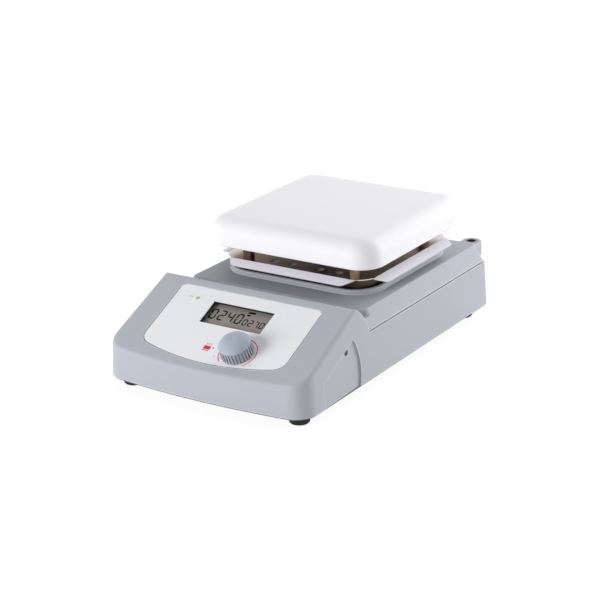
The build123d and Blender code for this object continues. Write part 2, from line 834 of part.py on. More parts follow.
with BuildPart() as thermal_cutout:
    with BuildSketch(heater.offset(press_z - cutout_height)):
        with Locations(cutout_place):
            Circle(cutout_radius)
    extrude(amount=cutout_height)
finish(thermal_cutout, "thermal_cutout")

stud_end_z = shelf_z - shelf_thickness - nut_height - stud_radius

with BuildPart() as heater_pan:
    with BuildSketch(heater.offset(pan_z)):
        RectangleRounded(2 * pan_half, 2 * pan_half, plate_corner_radius - plate_wall - pan_gap)
    extrude(amount=pan_thickness)
    with BuildSketch(heater.offset(stud_end_z)):
        with Locations(*stud_places):
            Circle(stud_radius)
    extrude(amount=pan_z - stud_end_z)
finish(heater_pan, "heater_pan")

with BuildPart() as upper_sleeves:
    with BuildSketch(heater.offset(shield_top_z)):
        with Locations(*stud_places):
            Circle(sleeve_radius)
            Circle(stud_radius + bolt_clearance, mode=Mode.SUBTRACT)
    extrude(amount=pan_z - shield_top_z)
finish(upper_sleeves, "upper_sleeves")

with BuildPart() as stud_nuts:
    with BuildSketch(heater.offset(shelf_z - shelf_thickness - nut_height)):
        with Locations(*stud_places):
            RegularPolygon(nut_radius, 6)
            Circle(stud_radius + thread_gap, mode=Mode.SUBTRACT)
    extrude(amount=nut_height)
finish(stud_nuts, "stud_nuts")

# Front overlay, display, lamp and control board
window_thickness = 1.5
window_margin = 4.0
glass_thickness = 2.8
glass_margin = 2.0
holder_gap = 0.2
window_back = body_wall + window_thickness
glass_back = window_back + 0.2 + glass_thickness
overlay_knob_hole = 7.0

with BuildPart() as front_overlay:
    with BuildSketch(console.offset(-overlay_recess)):
        add(overlay_outline(0))
        with Locations((display_x, display_s)):
            RectangleRounded(display_width, display_height, 0.6, mode=Mode.SUBTRACT)
        with Locations((knob_x, knob_s)):
            Circle(overlay_knob_hole, mode=Mode.SUBTRACT)
        with Locations((led_x, led_s)):
            Circle(led_radius + 0.1, mode=Mode.SUBTRACT)
    extrude(amount=overlay_thickness)
finish(front_overlay, "front_overlay")

with BuildPart() as display_window:
    with BuildSketch(console.offset(-window_back)):
        with Locations((display_x, display_s)):
            Rectangle(display_width + 2 * window_margin, display_height + 2 * window_margin)
    extrude(amount=window_thickness)
finish(display_window, "display_window")

with BuildPart() as display_glass:
    with BuildSketch(console.offset(-glass_back)):
        with Locations((display_x, display_s)):
            Rectangle(display_width + 2 * glass_margin, display_height + 2 * glass_margin)
    extrude(amount=glass_thickness)
finish(display_glass, "display_glass")

with BuildPart() as display_holder:
    with BuildSketch(console.offset(-board_depth)):
        with Locations((display_x, display_s)):
            Rectangle(display_width + 2 * window_margin, display_height + 2 * window_margin)
    extrude(amount=board_depth - glass_back)
    with BuildSketch(console.offset(-glass_back)):
        with Locations((display_x, display_s)):
            Rectangle(display_width + 2 * window_margin, display_height + 2 * window_margin)
            holder_margin = 2 * (glass_margin + holder_gap)
            Rectangle(display_width + holder_margin, display_height + holder_margin, mode=Mode.SUBTRACT)
    extrude(amount=glass_back - window_back)
finish(display_holder, "display_holder")

with BuildPart() as status_lamp:
    with BuildSketch(console.offset(-board_depth)):
        with Locations((led_x, led_s)):
            Circle(led_radius + 0.5)
    extrude(amount=board_depth - body_wall - 1)
    with BuildSketch(console.offset(-body_wall - 1)):
        with Locations((led_x, led_s)):
            Circle(led_radius)
    extrude(amount=body_wall + 1)
    chamfer(status_lamp.edges().filter_by(GeomType.CIRCLE).sort_by(Axis.Z)[-1], led_edge_chamfer)
finish(status_lamp, "status_lamp")

board_screw_head = (2.8, 2.0)
board_screw_grip = 4.5
connector_size = (34.0, 8.0, 8.0)
connector_place = (-30, 30)

with BuildPart() as control_board:
    with BuildSketch(console.offset(-board_depth - board_thickness)):
        with Locations((0, (board_low + board_high) / 2)):
            RectangleRounded(board_width, board_high - board_low, 2)
        with Locations(*board_posts):
            Circle(post_bore_radius + bolt_clearance, mode=Mode.SUBTRACT)
    extrude(amount=board_thickness)
finish(control_board, "control_board")

with BuildPart() as board_screws:
    with BuildSketch(console.offset(-board_depth - board_thickness - board_screw_head[1])):
        with Locations(*board_posts):
            Circle(board_screw_head[0])
    extrude(amount=board_screw_head[1])
    with BuildSketch(console.offset(-board_depth - board_thickness)):
        with Locations(*board_posts):
            Circle(post_bore_radius - thread_gap)
    extrude(amount=board_thickness + board_screw_grip)
finish(board_screws, "board_screws")

with BuildPart() as ribbon_connector:
    with BuildSketch(console.offset(-board_depth - board_thickness - connector_size[2])):
        with Locations(connector_place):
            Rectangle(*connector_size[:2])
    extrude(amount=connector_size[2])
finish(ribbon_connector, "ribbon_connector")

# Heat control: potentiometer, shaft and knob
shaft_radius = 3.0
shaft_gap = 0.05
bush_reach = 2.5
pot_nut_radius = 6.2
pot_nut_height = 1.8
pot_case_radius = 11.0
pot_floor = 2.0
shaft_end_gap = 0.5
shaft_flat_start = 4.0
shaft_flat_width = 2.4
knob_fit = 0.03
knob_base = knob_lift - overlay_recess + overlay_thickness
shaft_top = knob_base + 12.0

with BuildPart() as pot_body:
    with BuildSketch(console.offset(-board_depth)):
        with Locations((knob_x, knob_s)):
            Circle(pot_case_radius)
    extrude(amount=board_depth - body_wall)
    with BuildSketch(console.offset(-body_wall)):
        with Locations((knob_x, knob_s)):
            Circle(bush_radius)
    extrude(amount=body_wall + knob_base + bush_reach)
    with BuildSketch(console.offset(-board_depth + pot_floor)):
        with Locations((knob_x, knob_s)):
            Circle(shaft_radius + shaft_gap)
    extrude(amount=board_depth + knob_base + 4, mode=Mode.SUBTRACT)
finish(pot_body, "pot_body")

with BuildPart() as pot_nut:
    with BuildSketch(console.offset(-overlay_recess)):
        with Locations((knob_x, knob_s)):
            RegularPolygon(pot_nut_radius, 6)
            Circle(bush_radius + thread_gap, mode=Mode.SUBTRACT)
    extrude(amount=pot_nut_height)
finish(pot_nut, "pot_nut")

with BuildPart() as pot_shaft:
    with BuildSketch(console.offset(-board_depth + pot_floor + shaft_end_gap)):
        with Locations((knob_x, knob_s)):
            Circle(shaft_radius)
    extrude(amount=board_depth - pot_floor - shaft_end_gap + shaft_top)
    with BuildSketch(console.offset(knob_base + shaft_flat_start)):
        with Locations((knob_x, knob_s + shaft_radius)):
            Rectangle(4 * shaft_radius, shaft_flat_width)
    extrude(amount=shaft_top - knob_base - shaft_flat_start, mode=Mode.SUBTRACT)
finish(pot_shaft, "pot_shaft")

knob_ribs = 32
flute_width = 1.5
flute_depth = 0.9
knob_skirt_lean = 0.3
knob_wall = 2.6
knob_crown = 2.0
hub_lift = 3.2
knob_plane = Plane(
    origin=console.from_local_coords((knob_x, knob_s, 0)), x_dir=console.x_dir, z_dir=console.z_dir
)
knob_section = Plane(origin=knob_plane.origin, x_dir=knob_plane.x_dir, z_dir=-knob_plane.y_dir)
with BuildPart() as heat_knob:
    with BuildSketch(knob_section) as knob_half:
        with BuildLine():
            Polyline(
                (0, knob_base),
                (knob_radius, knob_base),
                (knob_radius - knob_skirt_lean, knob_base + knob_skirt),
            )
            rim = ThreePointArc(
                (knob_radius - knob_skirt_lean, knob_base + knob_skirt),
                (knob_radius * 0.72, knob_base + knob_height - 1.3),
                (0, knob_base + knob_height),
            )
            Line(rim @ 1, (0, knob_base))
        make_face()
    revolve(axis=Axis(origin=knob_plane.origin, direction=knob_plane.z_dir))
    with BuildSketch(knob_plane.offset(knob_base - 1)):
        with PolarLocations(knob_radius, knob_ribs):
            Rectangle(2 * flute_depth, flute_width)
    extrude(amount=knob_skirt + 1, mode=Mode.SUBTRACT)
    with BuildSketch(knob_plane.offset(knob_base)):
        Circle(knob_radius - knob_wall)
        Circle(shaft_radius + knob_wall, mode=Mode.SUBTRACT)
    extrude(amount=knob_skirt - knob_crown, mode=Mode.SUBTRACT)
    with BuildSketch(knob_plane.offset(knob_base)):
        Circle(shaft_radius + knob_wall)
    extrude(amount=hub_lift, mode=Mode.SUBTRACT)
    with BuildSketch(knob_plane.offset(knob_base)):
        Circle(shaft_radius + knob_fit)
    extrude(amount=shaft_top - knob_base + 0.3, mode=Mode.SUBTRACT)
finish(heat_knob, "heat_knob")

# Power inlet, switch, sensor socket and data port in the rear wall
flange_thickness = 2.0
inlet_flange = (48.0, 25.0)
inlet_depth = 20.0
inlet_well = (24.2, 16.4, 15.0)
inlet_well_chamfer = 4.2
blade_size = (2.0, 4.0, 12.0)
blade_offsets = [(-7, -2), (7, -2), (0, 2)]
panel_screw_head = (2.8, 1.6)
panel_screw_grip = 3.0

with BuildPart() as power_inlet:
    with BuildSketch(rear_wall):
        with Locations((inlet_x, socket_height)):
            RectangleRounded(*inlet_flange, 4)
            with GridLocations(inlet_screw_spacing, 0, 2, 1):
                Circle(panel_screw_radius + bolt_clearance, mode=Mode.SUBTRACT)
    extrude(amount=flange_thickness)
    with BuildSketch(rear_wall):
        with Locations((inlet_x, socket_height)):
            Rectangle(*inlet_body)
    extrude(amount=-inlet_depth)
    with BuildSketch(rear_wall.offset(flange_thickness)) as well:
        with Locations((inlet_x, socket_height)):
            Rectangle(inlet_well[0], inlet_well[1])
        chamfer(well.vertices().group_by(Axis.Y)[-1], inlet_well_chamfer)
    extrude(amount=-inlet_well[2] - flange_thickness, mode=Mode.SUBTRACT)
finish(power_inlet, "power_inlet")

with BuildPart() as inlet_blades:
    with BuildSketch(rear_wall.offset(-inlet_well[2])):
        with Locations(*[(inlet_x + x, socket_height + y) for x, y in blade_offsets]):
            Rectangle(*blade_size[:2])
    extrude(amount=blade_size[2])
finish(inlet_blades, "inlet_blades")

with BuildPart() as inlet_screws:
    with BuildSketch(rear_wall.offset(flange_thickness)):
        with Locations((inlet_x, socket_height)):
            with GridLocations(inlet_screw_spacing, 0, 2, 1):
                Circle(panel_screw_head[0])
    extrude(amount=panel_screw_head[1])
    with BuildSketch(rear_wall.offset(-body_wall - panel_screw_grip)):
        with Locations((inlet_x, socket_height)):
            with GridLocations(inlet_screw_spacing, 0, 2, 1):
                Circle(panel_screw_radius - thread_gap)
    extrude(amount=body_wall + panel_screw_grip + flange_thickness)
finish(inlet_screws, "inlet_screws")

rocker_radius = 8.6
rocker_width = 9.6
rocker_pivot = 1.6
rocker_tilt = 9.0
rocker_stub = 1.4
rocker_gap = 0.25
rocker_depth = 4.0
rocker_rise = 1.4
stub_length = 1.0
switch_floor = 4.0
switch_bezel = 1.6
switch_flange = (17.0, 25.0)
switch_depth = 15.0
pivot_plane = rear_wall.offset(-rocker_pivot)
pivot = pivot_plane.from_local_coords((switch_x, socket_height, 0))
rocker_section = Plane(origin=pivot, x_dir=rear_wall.y_dir, z_dir=rear_wall.x_dir)

with BuildPart() as switch_housing:
    with BuildSketch(rear_wall):
        with Locations((switch_x, socket_height)):
            RectangleRounded(*switch_flange, 1.5)
    extrude(amount=switch_bezel)
    with BuildSketch(rear_wall):
        with Locations((switch_x, socket_height)):
            Rectangle(switch_body[1], switch_body[0])
    extrude(amount=-switch_depth)
    with BuildSketch(rear_wall.offset(-switch_depth + switch_floor)):
        with Locations((switch_x, socket_height)):
            Rectangle(rocker_width + 2 * rocker_gap, 2 * (rocker_radius + rocker_gap))
    extrude(amount=switch_depth, mode=Mode.SUBTRACT)
    with BuildSketch(Plane(origin=pivot, z_dir=rear_wall.x_dir)):
        Circle(rocker_stub + shaft_gap)
    extrude(amount=rocker_width / 2 + stub_length + rocker_gap, both=True, mode=Mode.SUBTRACT)
finish(switch_housing, "switch_housing")

with BuildPart() as rocker_blank:
    with BuildSketch(rocker_section):
        with BuildLine():
            Polyline(
                (-rocker_radius, -rocker_depth),
                (rocker_radius, -rocker_depth),
                (rocker_radius, rocker_pivot + flange_thickness + rocker_rise),
                (0, rocker_pivot + flange_thickness),
                (-rocker_radius, rocker_pivot + flange_thickness + rocker_rise),
                close=True,
            )
        make_face()
        Circle(rocker_radius, mode=Mode.INTERSECT)
    extrude(amount=rocker_width / 2, both=True)
    with BuildSketch(rocker_section):
        Circle(rocker_stub)
    extrude(amount=rocker_width / 2 + stub_length, both=True)

with BuildPart() as switch_rocker:
    add(rocker_blank.part.rotate(Axis(origin=pivot, direction=rear_wall.x_dir), -rocker_tilt))
finish(switch_rocker, "switch_rocker")

sensor_flange_radius = 9.5
sensor_bore_radius = 4.6
sensor_bore_depth = 9.0
sensor_body_depth = 13.0
sensor_nut_radius = 9.5
sensor_nut_height = 3.0

with BuildPart() as sensor_socket:
    with BuildSketch(rear_wall):
        with Locations((sensor_x, socket_height)):
            Circle(sensor_flange_radius)
    extrude(amount=flange_thickness)
    with BuildSketch(rear_wall):
        with Locations((sensor_x, socket_height)):
            Circle(sensor_body_radius)
    extrude(amount=-sensor_body_depth)
    with BuildSketch(rear_wall.offset(flange_thickness)):
        with Locations((sensor_x, socket_height)):
            Circle(sensor_bore_radius)
    extrude(amount=-sensor_bore_depth, mode=Mode.SUBTRACT)
finish(sensor_socket, "sensor_socket")

with BuildPart() as sensor_nut:
    with BuildSketch(rear_wall.offset(-body_wall - sensor_nut_height)):
        with Locations((sensor_x, socket_height)):
            RegularPolygon(sensor_nut_radius, 6)
            Circle(sensor_body_radius + thread_gap, mode=Mode.SUBTRACT)
    extrude(amount=sensor_nut_height)
finish(sensor_nut, "sensor_nut")

port_flange = (31.0, 12.6)
port_flange_thickness = 1.0
port_shell = (16.6, 8.2, 5.4)
port_shell_angle = 80
port_face_recess = 0.8
port_rim = 0.6
port_corner_radius = 1.6
port_mouth = (port_shell[0] - 2 * port_rim, port_shell[1] - 2 * port_rim)
port_body_depth = 9.0
port_post_spacing = 25.0
port_post = (2.7, 4.5)

with BuildPart() as data_port:
    with BuildSketch(rear_wall):
        with Locations((port_x, socket_height)):
            RectangleRounded(*port_flange, 1.5)
    extrude(amount=port_flange_thickness)
    with BuildSketch(rear_wall.offset(port_flange_thickness)) as shell:
        with Locations((port_x, socket_height)):
            Trapezoid(port_shell[0], port_shell[1], port_shell_angle, rotation=180)
        fillet(shell.vertices(), port_corner_radius)
    extrude(amount=port_shell[2])
    with BuildSketch(rear_wall.offset(port_flange_thickness + port_shell[2])) as mouth:
        with Locations((port_x, socket_height)):
            Trapezoid(*port_mouth, port_shell_angle, rotation=180)
        fillet(mouth.vertices(), port_corner_radius - port_rim)
    extrude(amount=-port_face_recess, mode=Mode.SUBTRACT)
    with BuildSketch(rear_wall):
        with Locations((port_x, socket_height)):
            Rectangle(*port_body)
    extrude(amount=-port_body_depth)
finish(data_port, "data_port")

with BuildPart() as port_posts:
    with BuildSketch(rear_wall.offset(port_flange_thickness)):
        with Locations((port_x, socket_height)):
            with GridLocations(port_post_spacing, 0, 2, 1):
                RegularPolygon(port_post[0], 6)
    extrude(amount=port_post[1])
finish(port_posts, "port_posts")

# Cross-headed screw in each cheek
side_head_height = 1.6
side_cross_slot = (4.0, 0.9)

with BuildPart() as side_screws:
    for screw_seat in side_screw_seats:
        with BuildSketch(screw_seat.offset(-side_seat_depth)):
            Circle(side_hole_radius - bolt_clearance)
        extrude(amount=side_head_height)
        with BuildSketch(screw_seat.offset(-side_seat_depth)):
            Circle(side_screw_radius - thread_gap)
        extrude(amount=2 * side_seat_depth - side_boss_length)
        with BuildSketch(screw_seat.offset(side_head_height - side_seat_depth)):
            Rectangle(*side_cross_slot)
            Rectangle(*side_cross_slot, rotation=90)
        extrude(amount=-side_head_height / 2, mode=Mode.SUBTRACT)
finish(side_screws, "side_screws")

# Power electronics on the base plate, each component placed from the middle of its board
board_z = wall_foot_z + standoff_height
power_top_z = board_z + board_thickness
transformer_size = (42.0, 34.0, 26.0)
transformer_place = (-24, power_board_y + 14)
heat_sink_web = (44.0, 3.0)
heat_sink_height = 26.0
heat_sink_place = (26, power_board_y + 24)
fin_count = 7
fin_size = (2.0, 16.0)
triac_size = (10.2, 4.6, 15.0)
triac_lift = 4.0
relay_size = (19.0, 15.6, 15.4)
relay_place = (30, power_board_y - 14)
fuse_place = (-30, power_board_y - 20)
fuse_radius = 2.6
fuse_length = 20.0
fuse_lift = 4.0
clip_size = (4.0, 6.4, 5.6)
clip_spacing = 15.0
capacitor_places = [(0, power_board_y - 24), (12, power_board_y - 24)]
capacitor_radius = 4.5
capacitor_height = 14.0
capacitor_edge_chamfer = 0.8
fuse_axis = Plane(origin=(fuse_place[0], fuse_place[1], power_top_z + fuse_lift), z_dir=(1, 0, 0))

with BuildPart() as board_standoffs:
    with BuildSketch(Plane.XY.offset(wall_foot_z)):
        with Locations(*power_board_holes):
            Circle(standoff_radius)
    extrude(amount=standoff_height)
    with BuildSketch(Plane.XY.offset(foot_height)):
        with Locations(*power_board_holes):
            Circle(standoff_stud_radius)
    extrude(amount=base_thickness)
finish(board_standoffs, "board_standoffs")

with BuildPart() as power_board:
    with BuildSketch(Plane.XY.offset(board_z)):
        with Locations((0, power_board_y)):
            RectangleRounded(*power_board_size, 2)
    extrude(amount=board_thickness)
finish(power_board, "power_board")

with BuildPart() as transformer:
    with BuildSketch(Plane.XY.offset(power_top_z)):
        with Locations(transformer_place):
            RectangleRounded(*transformer_size[:2], 1.5)
    extrude(amount=transformer_size[2])
finish(transformer, "transformer")

with BuildPart() as heat_sink:
    with BuildSketch(Plane.XY.offset(power_top_z)):
        with Locations(heat_sink_place):
            Rectangle(*heat_sink_web)
            with GridLocations((heat_sink_web[0] - fin_size[0]) / (fin_count - 1), 0, fin_count, 1):
                Rectangle(*fin_size, align=(Align.CENTER, Align.MIN))
    extrude(amount=heat_sink_height)
finish(heat_sink, "heat_sink")

with BuildPart() as triac:
    with BuildSketch(Plane.XY.offset(power_top_z + triac_lift)):
        with Locations((heat_sink_place[0], heat_sink_place[1] - (heat_sink_web[1] + triac_size[1]) / 2)):
            Rectangle(*triac_size[:2])
    extrude(amount=triac_size[2])
finish(triac, "triac")

with BuildPart() as relay:
    with BuildSketch(Plane.XY.offset(power_top_z)):
        with Locations(relay_place):
            RectangleRounded(*relay_size[:2], 0.8)
    extrude(amount=relay_size[2])
finish(relay, "relay")

with BuildPart() as fuse:
    with BuildSketch(fuse_axis):
        Circle(fuse_radius)
    extrude(amount=fuse_length / 2, both=True)
finish(fuse, "fuse")

with BuildPart() as fuse_clips:
    with BuildSketch(Plane.XY.offset(power_top_z)):
        with Locations(fuse_place):
            with GridLocations(clip_spacing, 0, 2, 1):
                Rectangle(*clip_size[:2])
    extrude(amount=clip_size[2])
    with BuildSketch(fuse_axis):
        Circle(fuse_radius + thread_gap)
    extrude(amount=fuse_length, both=True, mode=Mode.SUBTRACT)
finish(fuse_clips, "fuse_clips")

with BuildPart() as capacitors:
    with BuildSketch(Plane.XY.offset(power_top_z)):
        with Locations(*capacitor_places):
            Circle(capacitor_radius)
    extrude(amount=capacitor_height)
    chamfer(capacitors.faces().sort_by(Axis.Z)[-2:].edges(), capacitor_edge_chamfer)
finish(capacitors, "capacitors")
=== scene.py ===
# %% [markdown]
# # A laboratory hot plate
#
# The object is a low bench instrument: a grey moulded body with a sloping console, and behind it a
# white enamelled plate that stands on posts over a bright steel heat shield. The solids come from
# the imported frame, already at their real size, so this script dresses them. It sets the camera and
# the light, mixes one finish for each material, and adds what is thinner than a solid: the print on
# the console, the marks on the display and the faces of the rear sockets.

# %% Load the frame
import json

from math import atan2, cos, pi, radians, sin

import bmesh
import bpy
from mathutils import Matrix, Vector


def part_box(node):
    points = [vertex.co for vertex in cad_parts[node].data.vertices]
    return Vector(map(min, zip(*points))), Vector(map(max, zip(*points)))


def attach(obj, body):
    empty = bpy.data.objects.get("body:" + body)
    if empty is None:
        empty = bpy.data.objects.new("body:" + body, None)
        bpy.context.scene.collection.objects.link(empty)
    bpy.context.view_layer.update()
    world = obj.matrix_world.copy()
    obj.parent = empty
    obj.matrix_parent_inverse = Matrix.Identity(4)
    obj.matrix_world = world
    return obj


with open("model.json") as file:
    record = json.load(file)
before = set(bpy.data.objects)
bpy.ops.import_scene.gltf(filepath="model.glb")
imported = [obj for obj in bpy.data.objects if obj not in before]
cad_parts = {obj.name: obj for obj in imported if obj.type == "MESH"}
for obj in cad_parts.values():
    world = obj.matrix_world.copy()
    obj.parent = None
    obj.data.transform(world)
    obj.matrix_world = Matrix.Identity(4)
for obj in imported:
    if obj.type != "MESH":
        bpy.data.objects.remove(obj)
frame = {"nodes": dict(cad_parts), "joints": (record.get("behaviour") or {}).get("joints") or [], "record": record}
nodes = frame["nodes"]
joints = {joint["name"]: joint for joint in frame["joints"]}
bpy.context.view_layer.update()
mm = 0.001

# %% [markdown]
# ## Camera
#
# A product photograph is taken from a little above the bench and to the right of the console. The
# viewing angle is given as an azimuth, an elevation and a slight roll, because those are what a
# photographer sets on a tripod head. The lens is a long one, which keeps the far edges of the body
# nearly parallel to the near ones.

# %% Set up the camera
camera_azimuth = radians(33.42)
camera_elevation = radians(20.09)
camera_roll = radians(-1.53)
camera_place = Vector((0.8609, -1.3174, 0.6215))

view_back = Vector(
    (
        sin(camera_azimuth) * cos(camera_elevation),
        -cos(camera_azimuth) * cos(camera_elevation),
        sin(camera_elevation),
    )
)
level_right = Vector((cos(camera_azimuth), sin(camera_azimuth), 0))
level_up = view_back.cross(level_right)
view_right = cos(camera_roll) * level_right + sin(camera_roll) * level_up
view_up = -sin(camera_roll) * level_right + cos(camera_roll) * level_up

focal_length = 107.37
camera_data = bpy.data.cameras.new("bench_camera")
camera_data.lens = focal_length
camera_data.sensor_width = 36
camera = bpy.data.objects.new("bench_camera", camera_data)
bpy.context.scene.collection.objects.link(camera)
camera_turn = Matrix((view_right, view_up, view_back)).transposed().to_4x4()
camera.matrix_world = Matrix.Translation(camera_place) @ camera_turn
bpy.context.scene.camera = camera
bpy.context.scene.view_settings.view_transform = "Standard"
print("camera stands", round(camera_place.length, 3), "m from the middle of the object's foot")

# %% [markdown]
# ## Light and backdrop
#
# Three soft boxes light the object: a strong one low at the front left, a near one at the rear
# right, and one above behind it. So its upright walls are brighter than the sloping console, and
# the upright corner between front and side is the darkest. A dim, even world fills the rest. The
# boxes are kept out of reflections, because the enamel shows no hard highlight. The floor and the
# world show as white to the camera and to reflections through Light Path, and the floor still
# takes the object's shadow.

# %% Light the studio
world_fill = 0.34
floor_white = 0.86
floor_glow = 1.10
shadow_share = 0.16


def soft_box(name, place, width, height, power):
    """A rectangular lamp that faces the middle of the object."""
    lamp = bpy.data.lights.new(name, "AREA")
    lamp.shape = "RECTANGLE"
    lamp.size = width
    lamp.size_y = height
    lamp.energy = power
    stand = bpy.data.objects.new(name, lamp)
    bpy.context.scene.collection.objects.link(stand)
    stand.location = place
    towards = Vector((0, 0, 0.06)) - stand.location
    stand.rotation_euler = towards.to_track_quat("-Z", "Y").to_euler()
    stand.visible_glossy = False


soft_box("front_soft_box", Vector((-1.0, -1.9, 0.55)), 1.3, 1.0, 35)
soft_box("right_soft_box", Vector((1.05, 0.95, 0.42)), 0.9, 0.7, 10.5)
soft_box("rear_soft_box", Vector((0.4, 1.6, 1.25)), 1.2, 1.2, 20)


def see_white(tree, lit_shader, white_strength, share):
    """Mixes a plain white emission over a shader for camera, glossy and transmission rays."""
    path = tree.nodes.new("ShaderNodeLightPath")
    glossy = tree.nodes.new("ShaderNodeMath")
    glossy.operation = "MAXIMUM"
    tree.links.new(path.outputs["Is Camera Ray"], glossy.inputs[0])
    tree.links.new(path.outputs["Is Glossy Ray"], glossy.inputs[1])
    either = tree.nodes.new("ShaderNodeMath")
    either.operation = "MAXIMUM"
    tree.links.new(glossy.outputs[0], either.inputs[0])
    tree.links.new(path.outputs["Is Transmission Ray"], either.inputs[1])
    amount = tree.nodes.new("ShaderNodeMath")
    amount.operation = "MULTIPLY"
    amount.inputs[1].default_value = share
    tree.links.new(either.outputs[0], amount.inputs[0])
    white = tree.nodes.new("ShaderNodeEmission" if share < 1 else "ShaderNodeBackground")
    white.inputs["Strength"].default_value = white_strength
    white.inputs["Color"].default_value = (1, 1, 1, 1)
    mix = tree.nodes.new("ShaderNodeMixShader")
    tree.links.new(amount.outputs[0], mix.inputs[0])
    tree.links.new(lit_shader, mix.inputs[1])
    tree.links.new(white.outputs[0], mix.inputs[2])
    return mix.outputs[0]


world = bpy.data.worlds.new("studio")
bpy.context.scene.world = world
world.use_nodes = True
world.node_tree.nodes.clear()
fill = world.node_tree.nodes.new("ShaderNodeBackground")
fill.inputs["Color"].default_value = (0.97, 0.985, 1.0, 1)
fill.inputs["Strength"].default_value = world_fill
world_output = world.node_tree.nodes.new("ShaderNodeOutputWorld")
world.node_tree.links.new(see_white(world.node_tree, fill.outputs[0], 1.0, 1), world_output.inputs["Surface"])

floor_mesh = bpy.data.meshes.new("bench_floor")
reach = 6.0
floor_mesh.from_pydata(
    [(-reach, -reach, 0), (reach, -reach, 0), (reach, reach, 0), (-reach, reach, 0)], [], [(0, 1, 2, 3)]
)
floor = bpy.data.objects.new("bench_floor", floor_mesh)
bpy.context.scene.collection.objects.link(floor)
floor_paint = bpy.data.materials.new("bench_white")
floor_paint.use_nodes = True
floor_tree = floor_paint.node_tree
floor_shader = floor_tree.nodes["Principled BSDF"]
floor_shader.inputs["Base Color"].default_value = (floor_white, floor_white, floor_white, 1)
floor_shader.inputs["Roughness"].default_value = 0.9
floor_tree.links.new(
    see_white(floor_tree, floor_shader.outputs[0], floor_glow, 1 - shadow_share),
    floor_tree.nodes["Material Output"].inputs["Surface"],
)
floor_mesh.materials.append(floor_paint)

# %% [markdown]
# ## Shared effects
#
# Several finishes share the same small effects: the fine spark texture of moulded plastic, the
# lines that rolling leaves in steel, the soft flow of fired enamel, edges that handling has
# rubbed, with a painted highlight, a painted shade in grooves, and dust that settles on faces that
# look up. Each is a node group with named sockets, so that every material can place it with values
# of its own.


# %% A helper for node groups
def effect_group(name, inputs, outputs):
    """An empty node group with named sockets: pairs of a name and 'Float', 'Color' or 'Vector'."""
    tree = bpy.data.node_groups.new(name, "ShaderNodeTree")
    for label, kind in inputs:
        tree.interface.new_socket(name=label, in_out="INPUT", socket_type=f"NodeSocket{kind}")
    for label, kind in outputs:
        tree.interface.new_socket(name=label, in_out="OUTPUT", socket_type=f"NodeSocket{kind}")
    return tree, tree.nodes.new("NodeGroupInput"), tree.nodes.new("NodeGroupOutput")


def math_node(tree, operation, first, second):
    """A Math node whose two inputs are sockets or numbers."""
    node = tree.nodes.new("ShaderNodeMath")
    node.operation = operation
    for socket, value in zip(node.inputs, (first, second)):
        if isinstance(value, (int, float)):
            socket.default_value = value
        else:
            tree.links.new(value, socket)
    return node.outputs[0]


def noise_node(tree, scale, detail, stretch=(1, 1, 1)):
    """Noise in the object's own space, stretched along an axis when asked."""
    place = tree.nodes.new("ShaderNodeTexCoord")
    mapping = tree.nodes.new("ShaderNodeMapping")
    mapping.inputs["Scale"].default_value = stretch
    tree.links.new(place.outputs["Object"], mapping.inputs["Vector"])
    noise = tree.nodes.new("ShaderNodeTexNoise")
    noise.inputs["Detail"].default_value = detail
    if isinstance(scale, (int, float)):
        noise.inputs["Scale"].default_value = scale
    else:
        tree.links.new(scale, noise.inputs["Scale"])
    tree.links.new(mapping.outputs[0], noise.inputs["Vector"])
    return noise.outputs[0]


def tone(tree, colour, value):
    """Multiplies a colour by a value."""
    mix = tree.nodes.new("ShaderNodeVectorMath")
    mix.operation = "SCALE"
    tree.links.new(colour, mix.inputs[0])
    tree.links.new(value, mix.inputs["Scale"])
    return mix.outputs[0]


def bump_node(tree, height, strength, distance):
    """A Bump node over a height socket."""
    bump = tree.nodes.new("ShaderNodeBump")
    bump.inputs["Distance"].default_value = distance
    if isinstance(strength, (int, float)):
        bump.inputs["Strength"].default_value = strength
    else:
        tree.links.new(strength, bump.inputs["Strength"])
    tree.links.new(height, bump.inputs["Height"])
    return bump.outputs[0]


# %% [markdown]
# Moulded plastic carries the fine spark texture of its mould and a faint unevenness of colour. The
# group mottles the colour at the scale of a hand, and roughens the normal at the scale of the grain.

# %% The grain of moulded plastic
grain_tree, grain_in, grain_out = effect_group(
    "moulded_grain",
    [
        ("Colour", "Color"),
        ("Mottle", "Float"),
        ("Grain size", "Float"),
        ("Grain depth", "Float"),
        ("Gloss", "Float"),
    ],
    [("Colour", "Color"), ("Roughness", "Float"), ("Normal", "Vector")],
)
grain_cloud = noise_node(grain_tree, 14, 3)
grain_shift = math_node(grain_tree, "SUBTRACT", grain_cloud, 0.5)
grain_level = math_node(
    grain_tree, "ADD", math_node(grain_tree, "MULTIPLY", grain_shift, grain_in.outputs["Mottle"]), 1
)
grain_tree.links.new(tone(grain_tree, grain_in.outputs["Colour"], grain_level), grain_out.inputs["Colour"])
grain_fine = noise_node(grain_tree, grain_in.outputs["Grain size"], 4)
grain_rough = math_node(grain_tree, "MULTIPLY", math_node(grain_tree, "SUBTRACT", grain_fine, 0.5), 0.16)
grain_tree.links.new(
    math_node(grain_tree, "ADD", grain_in.outputs["Gloss"], grain_rough), grain_out.inputs["Roughness"]
)
grain_tree.links.new(
    bump_node(grain_tree, grain_fine, grain_in.outputs["Grain depth"], 0.00012), grain_out.inputs["Normal"]
)

# %% [markdown]
# Sheet steel is rolled, which leaves long fine lines along one direction. Near a heater it also
# takes on a straw to brown tint in patches. The group stretches noise along X for the lines, and
# lets a slow noise choose where the tint lies.

